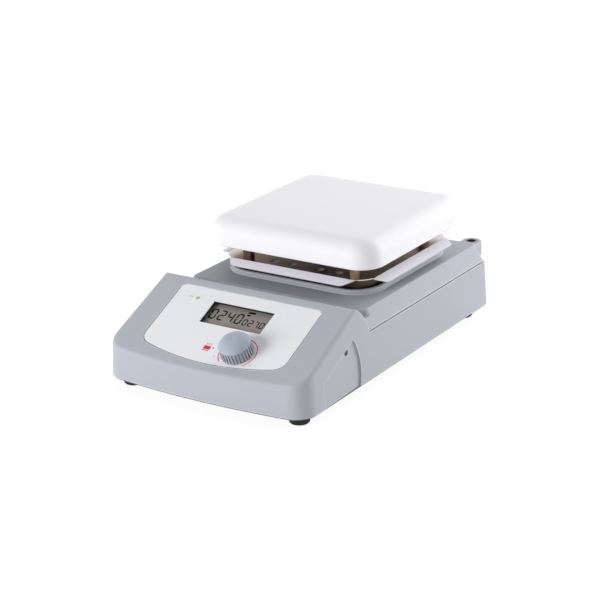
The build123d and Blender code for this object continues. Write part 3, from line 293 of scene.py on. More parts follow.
# %% The lines and heat tint of rolled steel
steel_tree, steel_in, steel_out = effect_group(
    "rolled_steel",
    [
        ("Colour", "Color"),
        ("Tint", "Color"),
        ("Tint amount", "Float"),
        ("Gloss", "Float"),
        ("Line depth", "Float"),
    ],
    [("Colour", "Color"), ("Roughness", "Float"), ("Normal", "Vector")],
)
steel_lines = noise_node(steel_tree, 240, 3, (0.03, 1, 1))
steel_patch = noise_node(steel_tree, 16, 2)
steel_ramp = steel_tree.nodes.new("ShaderNodeMapRange")
steel_ramp.inputs["From Min"].default_value = 0.38
steel_ramp.inputs["From Max"].default_value = 0.66
steel_tree.links.new(steel_patch, steel_ramp.inputs["Value"])
steel_mix = steel_tree.nodes.new("ShaderNodeMix")
steel_mix.data_type = "RGBA"
steel_tint = math_node(steel_tree, "MULTIPLY", steel_ramp.outputs[0], steel_in.outputs["Tint amount"])
steel_tree.links.new(steel_tint, steel_mix.inputs[0])
steel_tree.links.new(steel_in.outputs["Colour"], steel_mix.inputs[6])
steel_tree.links.new(steel_in.outputs["Tint"], steel_mix.inputs[7])
steel_level = math_node(steel_tree, "ADD", math_node(steel_tree, "MULTIPLY", steel_lines, 0.12), 0.94)
steel_tree.links.new(tone(steel_tree, steel_mix.outputs[2], steel_level), steel_out.inputs["Colour"])
steel_rough = math_node(steel_tree, "MULTIPLY", steel_lines, 0.12)
steel_tree.links.new(
    math_node(steel_tree, "ADD", steel_in.outputs["Gloss"], steel_rough), steel_out.inputs["Roughness"]
)
steel_tree.links.new(
    bump_node(steel_tree, steel_lines, steel_in.outputs["Line depth"], 0.00006), steel_out.inputs["Normal"]
)

# %% [markdown]
# Enamel is glass fired onto metal: it flows a little before it sets, which leaves a very shallow
# waviness in its gloss. The same slow waviness suits glossy film and clear plastic, so the group
# takes the depth of the waves as a value.

# %% The flow of fired enamel
flow_tree, flow_in, flow_out = effect_group(
    "glossy_flow",
    [("Colour", "Color"), ("Cloud", "Float"), ("Wave depth", "Float"), ("Gloss", "Float")],
    [("Colour", "Color"), ("Roughness", "Float"), ("Normal", "Vector")],
)
flow_slow = noise_node(flow_tree, 22, 2)
flow_cloud = noise_node(flow_tree, 6, 2)
flow_shift = math_node(flow_tree, "SUBTRACT", flow_cloud, 0.5)
flow_level = math_node(
    flow_tree, "ADD", math_node(flow_tree, "MULTIPLY", flow_shift, flow_in.outputs["Cloud"]), 1
)
flow_tree.links.new(tone(flow_tree, flow_in.outputs["Colour"], flow_level), flow_out.inputs["Colour"])
flow_fine = noise_node(flow_tree, 260, 2)
flow_tree.links.new(
    math_node(flow_tree, "ADD", flow_in.outputs["Gloss"], math_node(flow_tree, "MULTIPLY", flow_fine, 0.06)),
    flow_out.inputs["Roughness"],
)
flow_tree.links.new(
    bump_node(flow_tree, flow_slow, flow_in.outputs["Wave depth"], 0.0006), flow_out.inputs["Normal"]
)

# %% [markdown]
# Handling polishes the edges of plastic, and dust gathers on faces that look up. The lighter edge
# colour is partly that wear and partly a painted highlight, where rounded edges catch the light, and
# the grooves get a painted shade. A Bevel node rounds the normal near an edge, so the angle between
# it and the true normal marks the edge. Ambient occlusion over two millimetres marks the grooves for
# the painted shade. The true normal's Z marks the faces that look up, broken up with noise.

# %% Rubbed edges with a painted highlight, painted groove shade and settled dust
edge_tree, edge_in, edge_out = effect_group("rubbed_and_highlit_edge", [("Strength", "Float")], [("Mask", "Float")])
edge_bevel = edge_tree.nodes.new("ShaderNodeBevel")
edge_bevel.samples = 4
edge_bevel.inputs["Radius"].default_value = 0.0011
edge_true = edge_tree.nodes.new("ShaderNodeNewGeometry")
edge_dot = edge_tree.nodes.new("ShaderNodeVectorMath")
edge_dot.operation = "DOT_PRODUCT"
edge_tree.links.new(edge_bevel.outputs[0], edge_dot.inputs[0])
edge_tree.links.new(edge_true.outputs["Normal"], edge_dot.inputs[1])
edge_ramp = edge_tree.nodes.new("ShaderNodeMapRange")
edge_ramp.inputs["From Min"].default_value = 0.995
edge_ramp.inputs["From Max"].default_value = 0.90
edge_tree.links.new(edge_dot.outputs["Value"], edge_ramp.inputs["Value"])
edge_patch = math_node(edge_tree, "ADD", noise_node(edge_tree, 60, 3), 0.4)
edge_tree.links.new(
    math_node(
        edge_tree,
        "MULTIPLY",
        math_node(edge_tree, "MULTIPLY", edge_ramp.outputs[0], edge_patch),
        edge_in.outputs["Strength"],
    ),
    edge_out.inputs["Mask"],
)

groove_tree, groove_in, groove_out = effect_group(
    "groove_shade", [("Strength", "Float")], [("Mask", "Float")]
)
groove_depth = groove_tree.nodes.new("ShaderNodeAmbientOcclusion")
groove_depth.samples = 6
groove_depth.only_local = True
groove_depth.inputs["Distance"].default_value = 0.0022
groove_ramp = groove_tree.nodes.new("ShaderNodeMapRange")
groove_ramp.inputs["From Min"].default_value = 0.85
groove_ramp.inputs["From Max"].default_value = 0.35
groove_tree.links.new(groove_depth.outputs["AO"], groove_ramp.inputs["Value"])
groove_tree.links.new(
    math_node(groove_tree, "MULTIPLY", groove_ramp.outputs[0], groove_in.outputs["Strength"]),
    groove_out.inputs["Mask"],
)

dust_tree, dust_in, dust_out = effect_group("settled_dust", [("Amount", "Float")], [("Mask", "Float")])
dust_face = dust_tree.nodes.new("ShaderNodeNewGeometry")
dust_split = dust_tree.nodes.new("ShaderNodeSeparateXYZ")
dust_tree.links.new(dust_face.outputs["Normal"], dust_split.inputs[0])
dust_up = math_node(dust_tree, "POWER", math_node(dust_tree, "MAXIMUM", dust_split.outputs["Z"], 0), 4)
dust_patch = math_node(dust_tree, "MULTIPLY", noise_node(dust_tree, 90, 4), noise_node(dust_tree, 9, 2))
dust_share = math_node(dust_tree, "MULTIPLY", dust_up, dust_patch)
dust_tree.links.new(
    math_node(dust_tree, "MULTIPLY", dust_share, dust_in.outputs["Amount"]), dust_out.inputs["Mask"]
)

# %% [markdown]
# ## Finishes
#
# Each finish is one material with its own Principled BSDF. A value that is the same all over goes
# straight onto the shader, and a value that changes over the surface comes from a group. The
# recipes below cover plastics, metals, glossy coats and one steep lip, and each named finish calls
# one of them.


# %% Recipes for the finishes
lip_steepness = 4
base_colour = 6
over_colour = 7
mixed_colour = 2


def srgb(text):
    """A colour written as six hexadecimal digits, as linear red, green, blue and alpha."""
    parts = [int(text[i : i + 2], 16) / 255 for i in (0, 2, 4)]
    return (*[p / 12.92 if p <= 0.04045 else ((p + 0.055) / 1.055) ** 2.4 for p in parts], 1)


def start_material(name, **plain):
    """A material with a Principled BSDF whose plain sockets are set by name."""
    paint = bpy.data.materials.new(name)
    paint.use_nodes = True
    shader = paint.node_tree.nodes["Principled BSDF"]
    for label, value in plain.items():
        shader.inputs[label.replace("_", " ")].default_value = value
    return paint, paint.node_tree, shader


def place_group(tree, group, **values):
    """Places a node group and sets its inputs by name."""
    node = tree.nodes.new("ShaderNodeGroup")
    node.node_tree = group
    for label, value in values.items():
        node.inputs[label.replace("_", " ")].default_value = value
    return node


def blend_over(tree, under, over, mask):
    """Lays a fixed colour over a colour socket where the mask says."""
    mix = tree.nodes.new("ShaderNodeMix")
    mix.data_type = "RGBA"
    tree.links.new(mask, mix.inputs[0])
    tree.links.new(under, mix.inputs[base_colour])
    mix.inputs[over_colour].default_value = over
    return mix.outputs[mixed_colour]


def plastic(
    name, colour, gloss, mottle=0.05, size=1600, depth=0.25, edge_wear_and_highlight=0.3, dust=0.25, rubbed_and_lit_colour="D8DAE0", painted_groove_shade=0
):
    """Moulded plastic or rubber: grain, rubbed edges with a painted highlight, painted shade in grooves and a
    little dust on top.
    """
    paint, tree, shader = start_material(name)
    grain = place_group(
        tree, grain_tree, Colour=srgb(colour), Mottle=mottle, Grain_size=size, Grain_depth=depth, Gloss=gloss
    )
    edges = place_group(tree, edge_tree, Strength=edge_wear_and_highlight)
    fallen = place_group(tree, dust_tree, Amount=dust)
    # The edge colour is wear together with a painted highlight on edges that catch the light.
    worn_lit_and_shaded = blend_over(tree, grain.outputs["Colour"], srgb(rubbed_and_lit_colour), edges.outputs["Mask"])
    # Painted shade: a dark blue-grey laid into the grooves that ambient occlusion finds.
    if painted_groove_shade:
        grooves = place_group(tree, groove_tree, Strength=painted_groove_shade)
        worn_lit_and_shaded = blend_over(tree, worn_lit_and_shaded, srgb("3E4755"), grooves.outputs["Mask"])
    dusty = blend_over(tree, worn_lit_and_shaded, srgb("C9C8C4"), fallen.outputs["Mask"])
    tree.links.new(dusty, shader.inputs["Base Color"])
    tree.links.new(grain.outputs["Roughness"], shader.inputs["Roughness"])
    tree.links.new(grain.outputs["Normal"], shader.inputs["Normal"])
    return paint


def metal(name, colour, gloss, tint="8A6A48", tinted=0.0, lines=0.3, edge_wear_and_highlight=0.0, metallic=1.0):
    """Sheet or turned metal: rolling lines, heat tint and brighter edges."""
    paint, tree, shader = start_material(name, Metallic=metallic)
    looks = {"Colour": srgb(colour), "Tint": srgb(tint), "Tint_amount": tinted, "Gloss": gloss}
    rolled = place_group(tree, steel_tree, Line_depth=lines, **looks)
    edges = place_group(tree, edge_tree, Strength=edge_wear_and_highlight)
    bright = blend_over(tree, rolled.outputs["Colour"], srgb("E6E4E0"), edges.outputs["Mask"])
    tree.links.new(bright, shader.inputs["Base Color"])
    tree.links.new(rolled.outputs["Roughness"], shader.inputs["Roughness"])
    tree.links.new(rolled.outputs["Normal"], shader.inputs["Normal"])
    return paint


def glossy_coat(name, colour, gloss, cloud=0.03, waves=0.15, coat=0.0, dust=0.0, **plain):
    """Enamel, film, ink and clear plastic: slow waves in the gloss and a faint cloud in the colour."""
    paint, tree, shader = start_material(name, Coat_Weight=coat, Coat_Roughness=0.08, **plain)
    flow = place_group(tree, flow_tree, Colour=srgb(colour), Cloud=cloud, Wave_depth=waves, Gloss=gloss)
    fallen = place_group(tree, dust_tree, Amount=dust)
    dusty = blend_over(tree, flow.outputs["Colour"], srgb("D2D1CE"), fallen.outputs["Mask"])
    tree.links.new(dusty, shader.inputs["Base Color"])
    tree.links.new(flow.outputs["Roughness"], shader.inputs["Roughness"])
    tree.links.new(flow.outputs["Normal"], shader.inputs["Normal"])
    return paint


def steep_lip(name, colour, gloss):
    """A pale lip whose bend is sharper than its sheet: the normal's level part counts more."""
    paint = glossy_coat(name, colour, gloss, cloud=0.04, waves=0.06)
    tree = paint.node_tree
    shader = tree.nodes["Principled BSDF"]
    level = tree.nodes.new("ShaderNodeVectorMath")
    level.operation = "MULTIPLY"
    level.inputs[1].default_value = (lip_steepness, lip_steepness, 1)
    tree.links.new(shader.inputs["Normal"].links[0].from_socket, level.inputs[0])
    unit = tree.nodes.new("ShaderNodeVectorMath")
    unit.operation = "NORMALIZE"
    tree.links.new(level.outputs[0], unit.inputs[0])
    tree.links.new(unit.outputs[0], shader.inputs["Normal"])
    return paint


# %% [markdown]
# The body is a pale blue-grey plastic with a satin face. The plate is white enamel with a soft
# gloss. The shield is bright steel, and what lies near the heater has turned brown: the pan above
# it, which it mirrors, the posts, and the dish below it. The dish is also darkened well past that
# tint, a painted shade for the gap under the shield. The small parts inside and behind get the
# plain finishes that such parts are bought with.

# %% Mix the finishes
finishes = {
    # The body's near-white edge colour is mostly a painted highlight on its rounded edges, with some wear.
    "body_plastic": plastic(
        "body_plastic", "B5B8C0", 0.46, mottle=0.03, edge_wear_and_highlight=1.3, dust=0.06, rubbed_and_lit_colour="F0F2F6"
    ),
    "overlay_film": glossy_coat("overlay_film", "F4F4F8", 0.34, cloud=0.02, waves=0.05),
    "window_plastic": glossy_coat(
        "window_plastic", "30302E", 0.05, cloud=0.02, waves=0.03, Alpha=0.04, Specular_IOR_Level=0.2
    ),
    "display_glass": glossy_coat("display_glass", "9A938B", 0.30, cloud=0.04, waves=0.03),
    "black_plastic": plastic("black_plastic", "1B1B1D", 0.42, edge_wear_and_highlight=0.14, dust=0.05, rubbed_and_lit_colour="55565A"),
    # The knob's flute valleys get a painted shade from the groove mask.
    "knob_plastic": plastic(
        "knob_plastic", "ABB3C0", 0.36, mottle=0.03, depth=0.12, edge_wear_and_highlight=0.35, dust=0.03, painted_groove_shade=0.9
    ),
    "lamp_plastic": glossy_coat(
        "lamp_plastic", "C9C01C", 0.45, cloud=0.12, waves=0.05, Specular_IOR_Level=0.2
    ),
    "enamel": glossy_coat("enamel", "F5F4F8", 0.22, cloud=0.018, waves=0.10, coat=0.25),
    "shield_steel": metal("shield_steel", "DDD6D0", 0.14, tint="9A7A5C", tinted=0.45, lines=0.25, edge_wear_and_highlight=0.2),
    "zinc_steel": metal("zinc_steel", "A9AAAC", 0.34, lines=0.4, edge_wear_and_highlight=0.25),
    "brass": metal("brass", "B9975A", 0.28, tint="7A5A30", tinted=0.3, edge_wear_and_highlight=0.15),
    "rubber": plastic("rubber", "161617", 0.72, size=900, depth=0.5, edge_wear_and_highlight=0.10, dust=0.10, rubbed_and_lit_colour="3A3A3C"),
    "fibre_board": plastic("fibre_board", "D9D5C8", 0.9, mottle=0.12, size=500, depth=0.8, edge_wear_and_highlight=0.0),
    "circuit_board": plastic("circuit_board", "1F5A38", 0.38, mottle=0.08, size=700, depth=0.2, edge_wear_and_highlight=0.1),
    "element_sheet": plastic("element_sheet", "8A7556", 0.55, mottle=0.2, size=300, depth=0.3, edge_wear_and_highlight=0.0),
    "iron_core": metal("iron_core", "3C3C40", 0.5, tint="50382A", tinted=0.4, lines=0.6),
    "relay_plastic": plastic("relay_plastic", "22458C", 0.3, depth=0.1, edge_wear_and_highlight=0.1),
    "heat_sink_metal": metal("heat_sink_metal", "8C8E92", 0.42, lines=0.6, edge_wear_and_highlight=0.2),
    "fuse_glass": glossy_coat("fuse_glass", "D5DCDC", 0.06, waves=0.03, Alpha=0.4),
}
finishes["base_paint"] = plastic("base_paint", "6F727A", 0.5, edge_wear_and_highlight=0.3, rubbed_and_lit_colour="A0A3A8")
finishes["browned_pan"] = metal("browned_pan", "8C7466", 0.30, tint="4A3328", tinted=0.7, lines=0.4)
finishes["post_steel"] = metal("post_steel", "A8927E", 0.20, tint="5A4030", tinted=0.7, lines=0.3)
# The dish's dark brown is heat tint and, past that, a painted shade for the gap under the shield.
finishes["browned_and_shaded_dish"] = metal("browned_and_shaded_dish", "6A584C", 0.26, tint="2A1E18", tinted=0.8, lines=0.4)
finishes["nickel_plate"] = metal("nickel_plate", "8E8F93", 0.3, lines=0.2)
# The side screws' dark brown is a painted shade for the deep seats they sit in.
finishes["screw_in_painted_shade"] = metal("screw_in_painted_shade", "2A2422", 0.4, lines=0.3)
# The brims' pale colour is a painted reflection of the white surroundings on the shield's steel.
finishes["brim_reflection_white"] = steep_lip("brim_reflection_white", "EAE7F0", 0.30)
finishes["red_ink"] = glossy_coat("red_ink", "D8232F", 0.36, cloud=0.06)
finishes["grey_ink"] = glossy_coat("grey_ink", "B9BCC2", 0.36, cloud=0.06)
finishes["gap_shade_ink"] = glossy_coat("gap_shade_ink", "666B78", 0.36, cloud=0.06)
finishes["display_ink"] = glossy_coat("display_ink", "080605", 0.5, cloud=0.05, Specular_IOR_Level=0.1)
finishes["white_ink"] = glossy_coat("white_ink", "E4E4E4", 0.40, cloud=0.05)

# %% [markdown]
# Every node of the frame names its material slot in the record, so most finishes are laid on by
# slot. A few nodes share a slot but look different, because one is painted or has been heated. The
# side screws are dark brown as a painted shade for the deep seats they sit in.

# %% Lay the finishes on the frame's nodes
special = {
    "side_screws": "screw_in_painted_shade",
    "rod_insert": "nickel_plate",
    "reflector_dish": "browned_and_shaded_dish",
    "base_plate": "base_paint",
    "heater_pan": "browned_pan",
    "upper_sleeves": "post_steel",
    "lower_sleeves": "post_steel",
}
slots = {row["node"]: row["material_slot"] for row in frame["record"]["subparts"]}
for name, node in nodes.items():
    node.data.materials.clear()
    node.data.materials.append(finishes[special.get(name, slots[name])])

# %% [markdown]
# The shield is one sheet with its four brims bent down. The brims stand in the open and look nearly
# white, while the flat part mirrors the brown pan above it. So the bent faces get a pale finish of
# their own, a painted reflection of the white surroundings on the same steel, and they are found by
# the tilt of their normals.

# %% Paint the white reflection on the brims
shield = nodes["heat_shield"]
shield.data.materials.append(finishes["brim_reflection_white"])
brim_tilt = (cos(radians(30)), cos(radians(6)))
brim_faces = 0
for polygon in shield.data.polygons:
    if brim_tilt[0] < abs(polygon.normal.z) < brim_tilt[1]:
        polygon.material_index = 1
        brim_faces += 1
print("nodes dressed:", len(nodes), "with finishes:", len(finishes), "and brim faces:", brim_faces)

# %% [markdown]
# ## Drawing on the console
#
# The print and the display's marks are drawn flat, in the console's own plane: x across it and s
# up its slope, both in millimetres, and h out of it. The knob's joint fixes that plane, because
# its axis stands square on the console at a place that is known. Each mark is a thin closed plate
# rather than a picture, so its edge stays crisp from close by and it exports as a mesh.

# %% The console's plane
knob_joint = joints["heat_control"]
knob_x = 25.3
knob_s = 22.2
knob_h = 0.8
across = Vector((1, 0, 0))
outward = Vector(knob_joint["axis"]).normalized()
upslope = outward.cross(across)
console_origin = Vector(knob_joint["pos_m"]) - mm * (knob_x * across + knob_s * upslope + knob_h * outward)
film_h = -0.1
ink_height = 0.04


def console(x, s, h):
    """A place on the console, from millimetres across, up and out to metres in the frame."""
    return console_origin + mm * (x * across + s * upslope + h * outward)


def add_plate(mesh, outline, low, high, place):
    """Adds a closed plate with a convex outline of (x, y) points to a bmesh."""
    bottom = [mesh.verts.new(place(x, y, low)) for x, y in outline]
    top = [mesh.verts.new(place(x, y, high)) for x, y in outline]
    mesh.faces.new(top)
    mesh.faces.new(list(reversed(bottom)))
    count = len(outline)
    for i in range(count):
        j = (i + 1) % count
        mesh.faces.new((bottom[i], bottom[j], top[j], top[i]))


def add_ribbon(mesh, points, width, low, high, place):
    """Adds a closed band of the given width along a line of (x, y) points to a bmesh."""
    rows = []
    for i, (x, y) in enumerate(points):
        x0, y0 = points[max(i - 1, 0)]
        x1, y1 = points[min(i + 1, len(points) - 1)]
        turn = atan2(y1 - y0, x1 - x0)
        side_x, side_y = -sin(turn) * width / 2, cos(turn) * width / 2
        corners = ((x + side_x, y + side_y), (x - side_x, y - side_y))
        rows.append([mesh.verts.new(place(*c, h)) for h in (low, high) for c in corners])
    for a, b in zip(rows, rows[1:]):
        for p, q in ((0, 1), (1, 3), (3, 2), (2, 0)):
            mesh.faces.new((a[p], a[q], b[q], b[p]))
    mesh.faces.new((rows[0][0], rows[0][2], rows[0][3], rows[0][1]))
    mesh.faces.new((rows[-1][0], rows[-1][1], rows[-1][3], rows[-1][2]))


def finish_piece(name, mesh, body, finish):
    """Turns a bmesh into a named piece that rides on a body."""
    bmesh.ops.recalc_face_normals(mesh, faces=mesh.faces[:])
    data = bpy.data.meshes.new(name)
    mesh.to_mesh(data)
    mesh.free()
    data.materials.append(finishes[finish])
    piece = bpy.data.objects.new(name, data)
    bpy.context.scene.collection.objects.link(piece)
    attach(piece, body)
    return piece


def arc_points(centre, radius, start, end, steps):
    """Points along an arc, with angles in degrees."""
    turns = [radians(start + (end - start) * i / steps) for i in range(steps + 1)]
    return [(centre[0] + radius * cos(t), centre[1] + radius * sin(t)) for t in turns]


def ink_place(x, s, h):
    """A place on the film's surface, for print of a small height."""
    return console(x, s, film_h + h)


# %% [markdown]
# A red line runs round the knob over most of a turn, from the lowest setting to the highest. It is
# printed on the film, so it is a flat band a little proud of it, with a plain 0 and 10 at its ends.

# %% The knob's scale
scale_radius = 17.7
scale_start = 227
scale_end = -47.5
scale_width = 0.85
red = bmesh.new()
scale_line = arc_points((knob_x, knob_s), scale_radius, scale_start, scale_end, 96)
add_ribbon(red, scale_line, scale_width, 0, ink_height, ink_place)

# %% [markdown]
# Beside the knob stands a plain sign for heat: a hot slab, with warm air rising from it in three
# short waves, and a dot. It is drawn from a slab, ribbons that follow a sine, and a small disc.

# %% The heat sign
slab_middle = -6.6
slab_low = 17.4
slab_size = (7.0, 5.8)
wave_height = 2.6
wave_sway = 0.35
wave_width = 0.5
wave_low = slab_low + slab_size[1] + 1
wave_steps = 12
wave_pitch = 2.2
base_line = 0.9
slab_lift = 1.6
for low, high in ((0, base_line), (slab_lift, slab_size[1])):
    left = slab_middle - slab_size[0] / 2
    right = slab_middle + slab_size[0] / 2
    corners = [(left, slab_low + low), (right, slab_low + low)]
    corners += [(right, slab_low + high), (left, slab_low + high)]
    add_plate(red, corners, 0, ink_height, ink_place)
for shift in (-wave_pitch, 0, wave_pitch):
    rises = [i / wave_steps for i in range(wave_steps + 1)]
    wave_middle = slab_middle + shift
    wave = [(wave_middle + wave_sway * sin(2 * pi * rise), wave_low + wave_height * rise) for rise in rises]
    add_ribbon(red, wave, wave_width, 0, ink_height, ink_place)
dot_middle = (-0.5, 21.9)
dot_radius = 0.85
add_plate(red, arc_points(dot_middle, dot_radius, 0, 337.5, 15), 0, ink_height, ink_place)
finish_piece("console_print_red", red, "base", "red_ink")

# %% [markdown]
# Plain signs in grey: ON beside the lamp, and the numbers at the ends of the scale. Each sign is a
# few strokes on a unit square, so one small table of strokes serves for all of them.

# %% The grey signs
oval = [(0.5 + 0.5 * cos(radians(a)), 0.5 + 0.5 * sin(radians(a))) for a in range(0, 361, 20)]
strokes = {
    "O": [oval],
    "0": [oval],
    "N": [[(0, 0), (0, 1)], [(0, 1), (1, 0)], [(1, 0), (1, 1)]],
    "1": [[(0.2, 0.7), (0.6, 1)], [(0.6, 1), (0.6, 0)]],
    "I": [[(0.5, 0), (0.5, 1)]],
}


def add_sign(mesh, text, left, low, width, height, stroke, place):
    """Writes plain signs made of strokes, from left to right."""
    for i, letter in enumerate(text):
        start = left + i * width * 1.45
        for line in strokes[letter]:
            run = [(start + u * width, low + v * height) for u, v in line]
            add_ribbon(mesh, run, stroke, 0, ink_height, place)


grey = bmesh.new()
add_sign(grey, "ON", -60.6, 74.5, 1.7, 2.0, 0.4, ink_place)
add_sign(grey, "0", 5.4, 12.0, 1.3, 2.0, 0.35, ink_place)
add_sign(grey, "10", 42.6, 10.9, 1.3, 2.0, 0.35, ink_place)
finish_piece("console_print_grey", grey, "base", "grey_ink")

# %% [markdown]
# Along the film's lower edge and its two sides runs a thin slate line. It is painted shade: it
# stands in for the shadow in the narrow gap round the film, which falls on those three sides and not
# the top. The line follows the film's own outline, so it is read from the node: the loop of edges
# between the film's face and its sides that reaches furthest out.


# %% The painted shade line round the film
def outer_loop(node, normal, height):
    """The outline of a flat node's face at a height over the console, in order, as (x, s) in mm."""
    mesh = bmesh.new()
    mesh.from_mesh(node.data)
    bmesh.ops.remove_doubles(mesh, verts=mesh.verts[:], dist=1e-6)
    edges = []
    for edge in mesh.edges:
        level = [abs((v.co - console_origin).dot(normal) / mm - height) < 0.02 for v in edge.verts]
        if all(level) and len(edge.link_faces) == 2:
            flat = [abs(face.normal.dot(normal)) > 0.99 for face in edge.link_faces]
            if flat[0] != flat[1]:
                edges.append(edge)
    joined = {}
    for edge in edges:
        for vert in edge.verts:
            joined.setdefault(vert, []).append(edge)
    start = max(joined, key=lambda v: v.co.x)
    loop = [start]
    edge = joined[start][0]
    while True:
        following = edge.other_vert(loop[-1])
        if following == start:
            break
        loop.append(following)
        edge = [e for e in joined[following] if e != edge][0]
    flat_points = [
        ((v.co - console_origin).dot(across) / mm, (v.co - console_origin).dot(upslope) / mm) for v in loop
    ]
    mesh.free()
    return flat_points


def inset_loop(points, inset):
    """Moves each point of a closed outline inwards by an amount."""
    area = sum(a[0] * b[1] - b[0] * a[1] for a, b in zip(points, points[1:] + points[:1]))
    sign = 1 if area > 0 else -1
    moved = []
    for i, (x, y) in enumerate(points):
        x0, y0 = points[i - 1]
        x1, y1 = points[(i + 1) % len(points)]
        turn = atan2(y1 - y0, x1 - x0)
        moved.append((x - sign * sin(turn) * inset, y + sign * cos(turn) * inset))
    return moved


line_width = 0.55
line_top = 84.0
film_edge = inset_loop(outer_loop(nodes["front_overlay"], outward, film_h), line_width / 2)
first = max(range(len(film_edge)), key=lambda i: (film_edge[i][1] > line_top, film_edge[i][0]))
ordered = film_edge[first:] + film_edge[:first]
line_points = [p for p in ordered if p[1] <= line_top]
gap_places = [
    i for i in range(1, len(line_points)) if abs(line_points[i][0] - line_points[i - 1][0]) > 100
]
if gap_places:
    line_points = line_points[gap_places[0] :] + line_points[: gap_places[0]]
# Painted shade: a slate line standing in for the shadow in the gap round the film.
edge_shade = bmesh.new()
add_ribbon(edge_shade, line_points, line_width, 0, ink_height / 2, ink_place)
finish_piece("film_edge_shade_line", edge_shade, "base", "gap_shade_ink")
print("film outline points:", len(film_edge), "of which drawn:", len(line_points))

# %% [markdown]
# ## The display
#
# A liquid crystal display shows dark bars on a grey-brown glass. Each digit is made of seven bars
# with pointed ends, and one table says which bars each digit lights. Large digits show the present
# value, smaller ones to their right the set value, and two small blocks stand for a heater sign.

# %% Seven bars for each digit
lit_bars = {"0": "abcdef", "2": "abged", "4": "fgbc", "7": "abc"}


bar_gap = 0.05


def bar_outline(start, end, width, gap):
    """A bar with pointed ends between two corners of a digit."""
    (x0, y0), (x1, y1) = start, end
    length = ((x1 - x0) ** 2 + (y1 - y0) ** 2) ** 0.5
    ux, uy = (x1 - x0) / length, (y1 - y0) / length
    half = width / 2
    marks = ((gap, 0), (gap + half, half), (length - gap - half, half))
    upper = [(x0 + a * ux - b * uy, y0 + a * uy + b * ux) for a, b in marks]
    marks = ((length - gap, 0), (length - gap - half, -half), (gap + half, -half))
    lower = [(x0 + a * ux - b * uy, y0 + a * uy + b * ux) for a, b in marks]
    return upper + lower


def add_digit(mesh, digit, left, low, width, height, bar, lean, place):
    """Adds the lit bars of one digit, leaning to the right."""
    corner = {
        name: (left + u * width + lean * v * height, low + v * height)
        for name, u, v in (
            ("bl", 0, 0), ("br", 1, 0), ("ml", 0, 0.5), ("mr", 1, 0.5), ("tl", 0, 1), ("tr", 1, 1),
        )
    }
    ends = {
        "a": ("tl", "tr"), "b": ("mr", "tr"), "c": ("br", "mr"), "d": ("bl", "br"),
        "e": ("bl", "ml"), "f": ("ml", "tl"), "g": ("ml", "mr"),
    }
    for name in lit_bars[digit]:
        start, end = ends[name]
        add_plate(mesh, bar_outline(corner[start], corner[end], bar, bar_gap), 0, ink_height, place)


def display_place(x, s, h):
    """A place on the display's glass."""
    return console(x, s, display_glass_h + h)


# %% [markdown]
# The opening in the housing is a little wider than the one in the film, and a black gasket fills
# that step. It is four short walls that stand between the window and the film, and it shows as
# the dark border along the far and the left side of the opening. Its black is also a painted shade,
# standing in for the shadow in the recess there.

# %% The black gasket round the window, also painted shade
window_size = (65.0, 27.2)
window_middle = (0.1, 61.9)
gasket_width = 0.7
gasket_low = -2.95
gasket_high = -0.85
gasket = bmesh.new()
half_across = window_size[0] / 2
half_up = window_size[1] / 2
for side in (-1, 1):
    for middle, wide, tall in (
        ((side * (half_across + gasket_width / 2), 0), gasket_width, window_size[1]),
        ((0, side * (half_up + gasket_width / 2)), window_size[0] + 2 * gasket_width, gasket_width),
    ):
        x = window_middle[0] + middle[0]
        s = window_middle[1] + middle[1]
        corners = [(x - wide / 2, s - tall / 2), (x + wide / 2, s - tall / 2)]
        corners += [(x + wide / 2, s + tall / 2), (x - wide / 2, s + tall / 2)]
        add_plate(gasket, corners, gasket_low, gasket_high, console)
finish_piece("window_gasket_and_shade", gasket, "base", "black_plastic")

# %% [markdown]
# The digits lie on the glass, a few millimetres under the film. The glass is the face of its node
# that looks out of the console, so its height is the largest one among that node's corners.

# %% The marks on the glass
display_glass_h = max(
    (v.co - console_origin).dot(outward) / mm for v in nodes["display_glass"].data.vertices
)
print("display glass lies", round(-display_glass_h, 2), "mm under the console's face")
marks = bmesh.new()
digit_lean = 0.02
digit_low = 58.9
rows = (
    {"text": "0240", "left": -30.9, "pitch": 9.15, "low": digit_low, "size": (5.3, 11.2), "bar": 1.6},
    {"text": "0270", "left": 5.2, "pitch": 6.0, "low": digit_low - 0.3, "size": (3.5, 6.7), "bar": 1.1},
)
point_share = 0.45
for row in rows:
    for i, digit in enumerate(row["text"]):
        left = row["left"] + i * row["pitch"]
        add_digit(marks, digit, left, row["low"], *row["size"], row["bar"], digit_lean, display_place)
    point = (row["left"] + 3 * row["pitch"] - row["bar"], row["low"] - 0.1)
    dot = arc_points(point, row["bar"] * point_share, 0, 315, 7)
    add_plate(marks, dot, 0, ink_height, display_place)
sign_blocks = ((4.3, 72.9, 7.2, 2.3), (4.3, 69.6, 3.6, 2.0))
for left, low, wide, tall in sign_blocks:
    block = [(left, low), (left + wide, low), (left + wide, low + tall), (left, low + tall)]
    add_plate(marks, block, 0, ink_height, display_place)
finish_piece("display_marks", marks, "base", "display_ink")

# %% [markdown]
# ## The rear sockets
#
# The back of the instrument isn't in the photograph, so it has what such instruments have. The
# solids carry the shells, and these thin pieces add what makes them readable: the black face and
# the contacts of the data port, and the plain I and O of the mains rocker.

# %% The data port's face
wall_lean = radians(3.4)
rear_across = Vector((-1, 0, 0))
rear_up = Vector((0, -sin(wall_lean), cos(wall_lean)))
rear_out = Vector((0, cos(wall_lean), sin(wall_lean)))
port_low, port_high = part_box("data_port")
port_corners = [v.co for v in nodes["data_port"].data.vertices]
port_out = max(c.dot(rear_out) for c in port_corners)
port_middle = Vector(((port_low.x + port_high.x) / 2, 0, 0))
port_height = (max(c.dot(rear_up) for c in port_corners) + min(c.dot(rear_up) for c in port_corners)) / 2
port_recess = 0.8


def port_place(x, y, h):
    """A place on the floor of the data port's mouth, in millimetres from its middle."""
    out = port_out + mm * (h - port_recess)
    return port_middle + mm * x * rear_across + (port_height + mm * y) * rear_up + out * rear_out


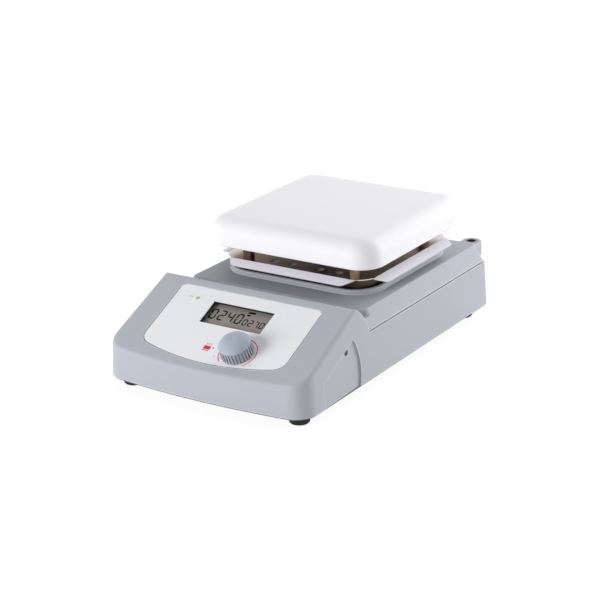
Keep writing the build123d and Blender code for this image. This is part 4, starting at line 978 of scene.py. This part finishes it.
face_half_low = 6.6
face_half_high = 7.3
face_half_height = 2.9
face_thickness = 0.25
face = bmesh.new()
face_outline = [(-face_half_low, -face_half_height), (face_half_low, -face_half_height)]
face_outline += [(face_half_high, face_half_height), (-face_half_high, face_half_height)]
add_plate(face, face_outline, 0, face_thickness, port_place)
finish_piece("port_face", face, "base", "black_plastic")
contacts = bmesh.new()
contact_pitch = 2.75
contact_row = 1.4
contact_radius = 0.55
contact_top = 0.32
for row, count in ((contact_row, 5), (-contact_row, 4)):
    for i in range(count):
        middle = ((i - (count - 1) / 2) * contact_pitch, row)
        outline = arc_points(middle, contact_radius, 0, 330, 11)
        add_plate(contacts, outline, face_thickness, contact_top, port_place)
finish_piece("port_contacts", contacts, "base", "brass")

# %% [markdown]
# The rocker's two faces lean away from its middle, and it rests with its lower or upper half in.
# The marks ride on the rocker's body, so they tilt with it.

# %% The rocker's marks
rocker = nodes["switch_rocker"]
pivot = Vector(joints["power_switch"]["pos_m"])
face_reach = 0.0055


def rocker_face(upper):
    """The middle, normal and up direction of one half of the rocker's face."""
    best = None
    for polygon in rocker.data.polygons:
        side = (polygon.center - pivot).dot(rear_up)
        if polygon.normal.dot(rear_out) > 0.8 and (side > 0) == upper:
            if best is None or polygon.area > best.area:
                best = polygon
    points = [
        v.co
        for v in rocker.data.vertices
        if abs((v.co - best.center).dot(best.normal)) < 1e-5 and abs(v.co.x - pivot.x) < face_reach
    ]
    middle = sum(points, Vector()) / len(points)
    normal = best.normal.copy()
    return middle, normal, normal.cross(rear_across) * -1


white = bmesh.new()
size = (3.0, 3.4)
sign_stroke = 0.55
for upper, sign_text in ((True, "O"), (False, "I")):
    middle, normal, up = rocker_face(upper)
    if up.dot(rear_up) < 0:
        up = -up

    def rocker_place(x, y, h, middle=middle, normal=normal, up=up):
        return middle + mm * (x * rear_across + y * up + h * normal)

    add_sign(white, sign_text, -size[0] / 2, -size[1] / 2, *size, sign_stroke, rocker_place)
finish_piece("rocker_marks", white, "rocker", "white_ink")
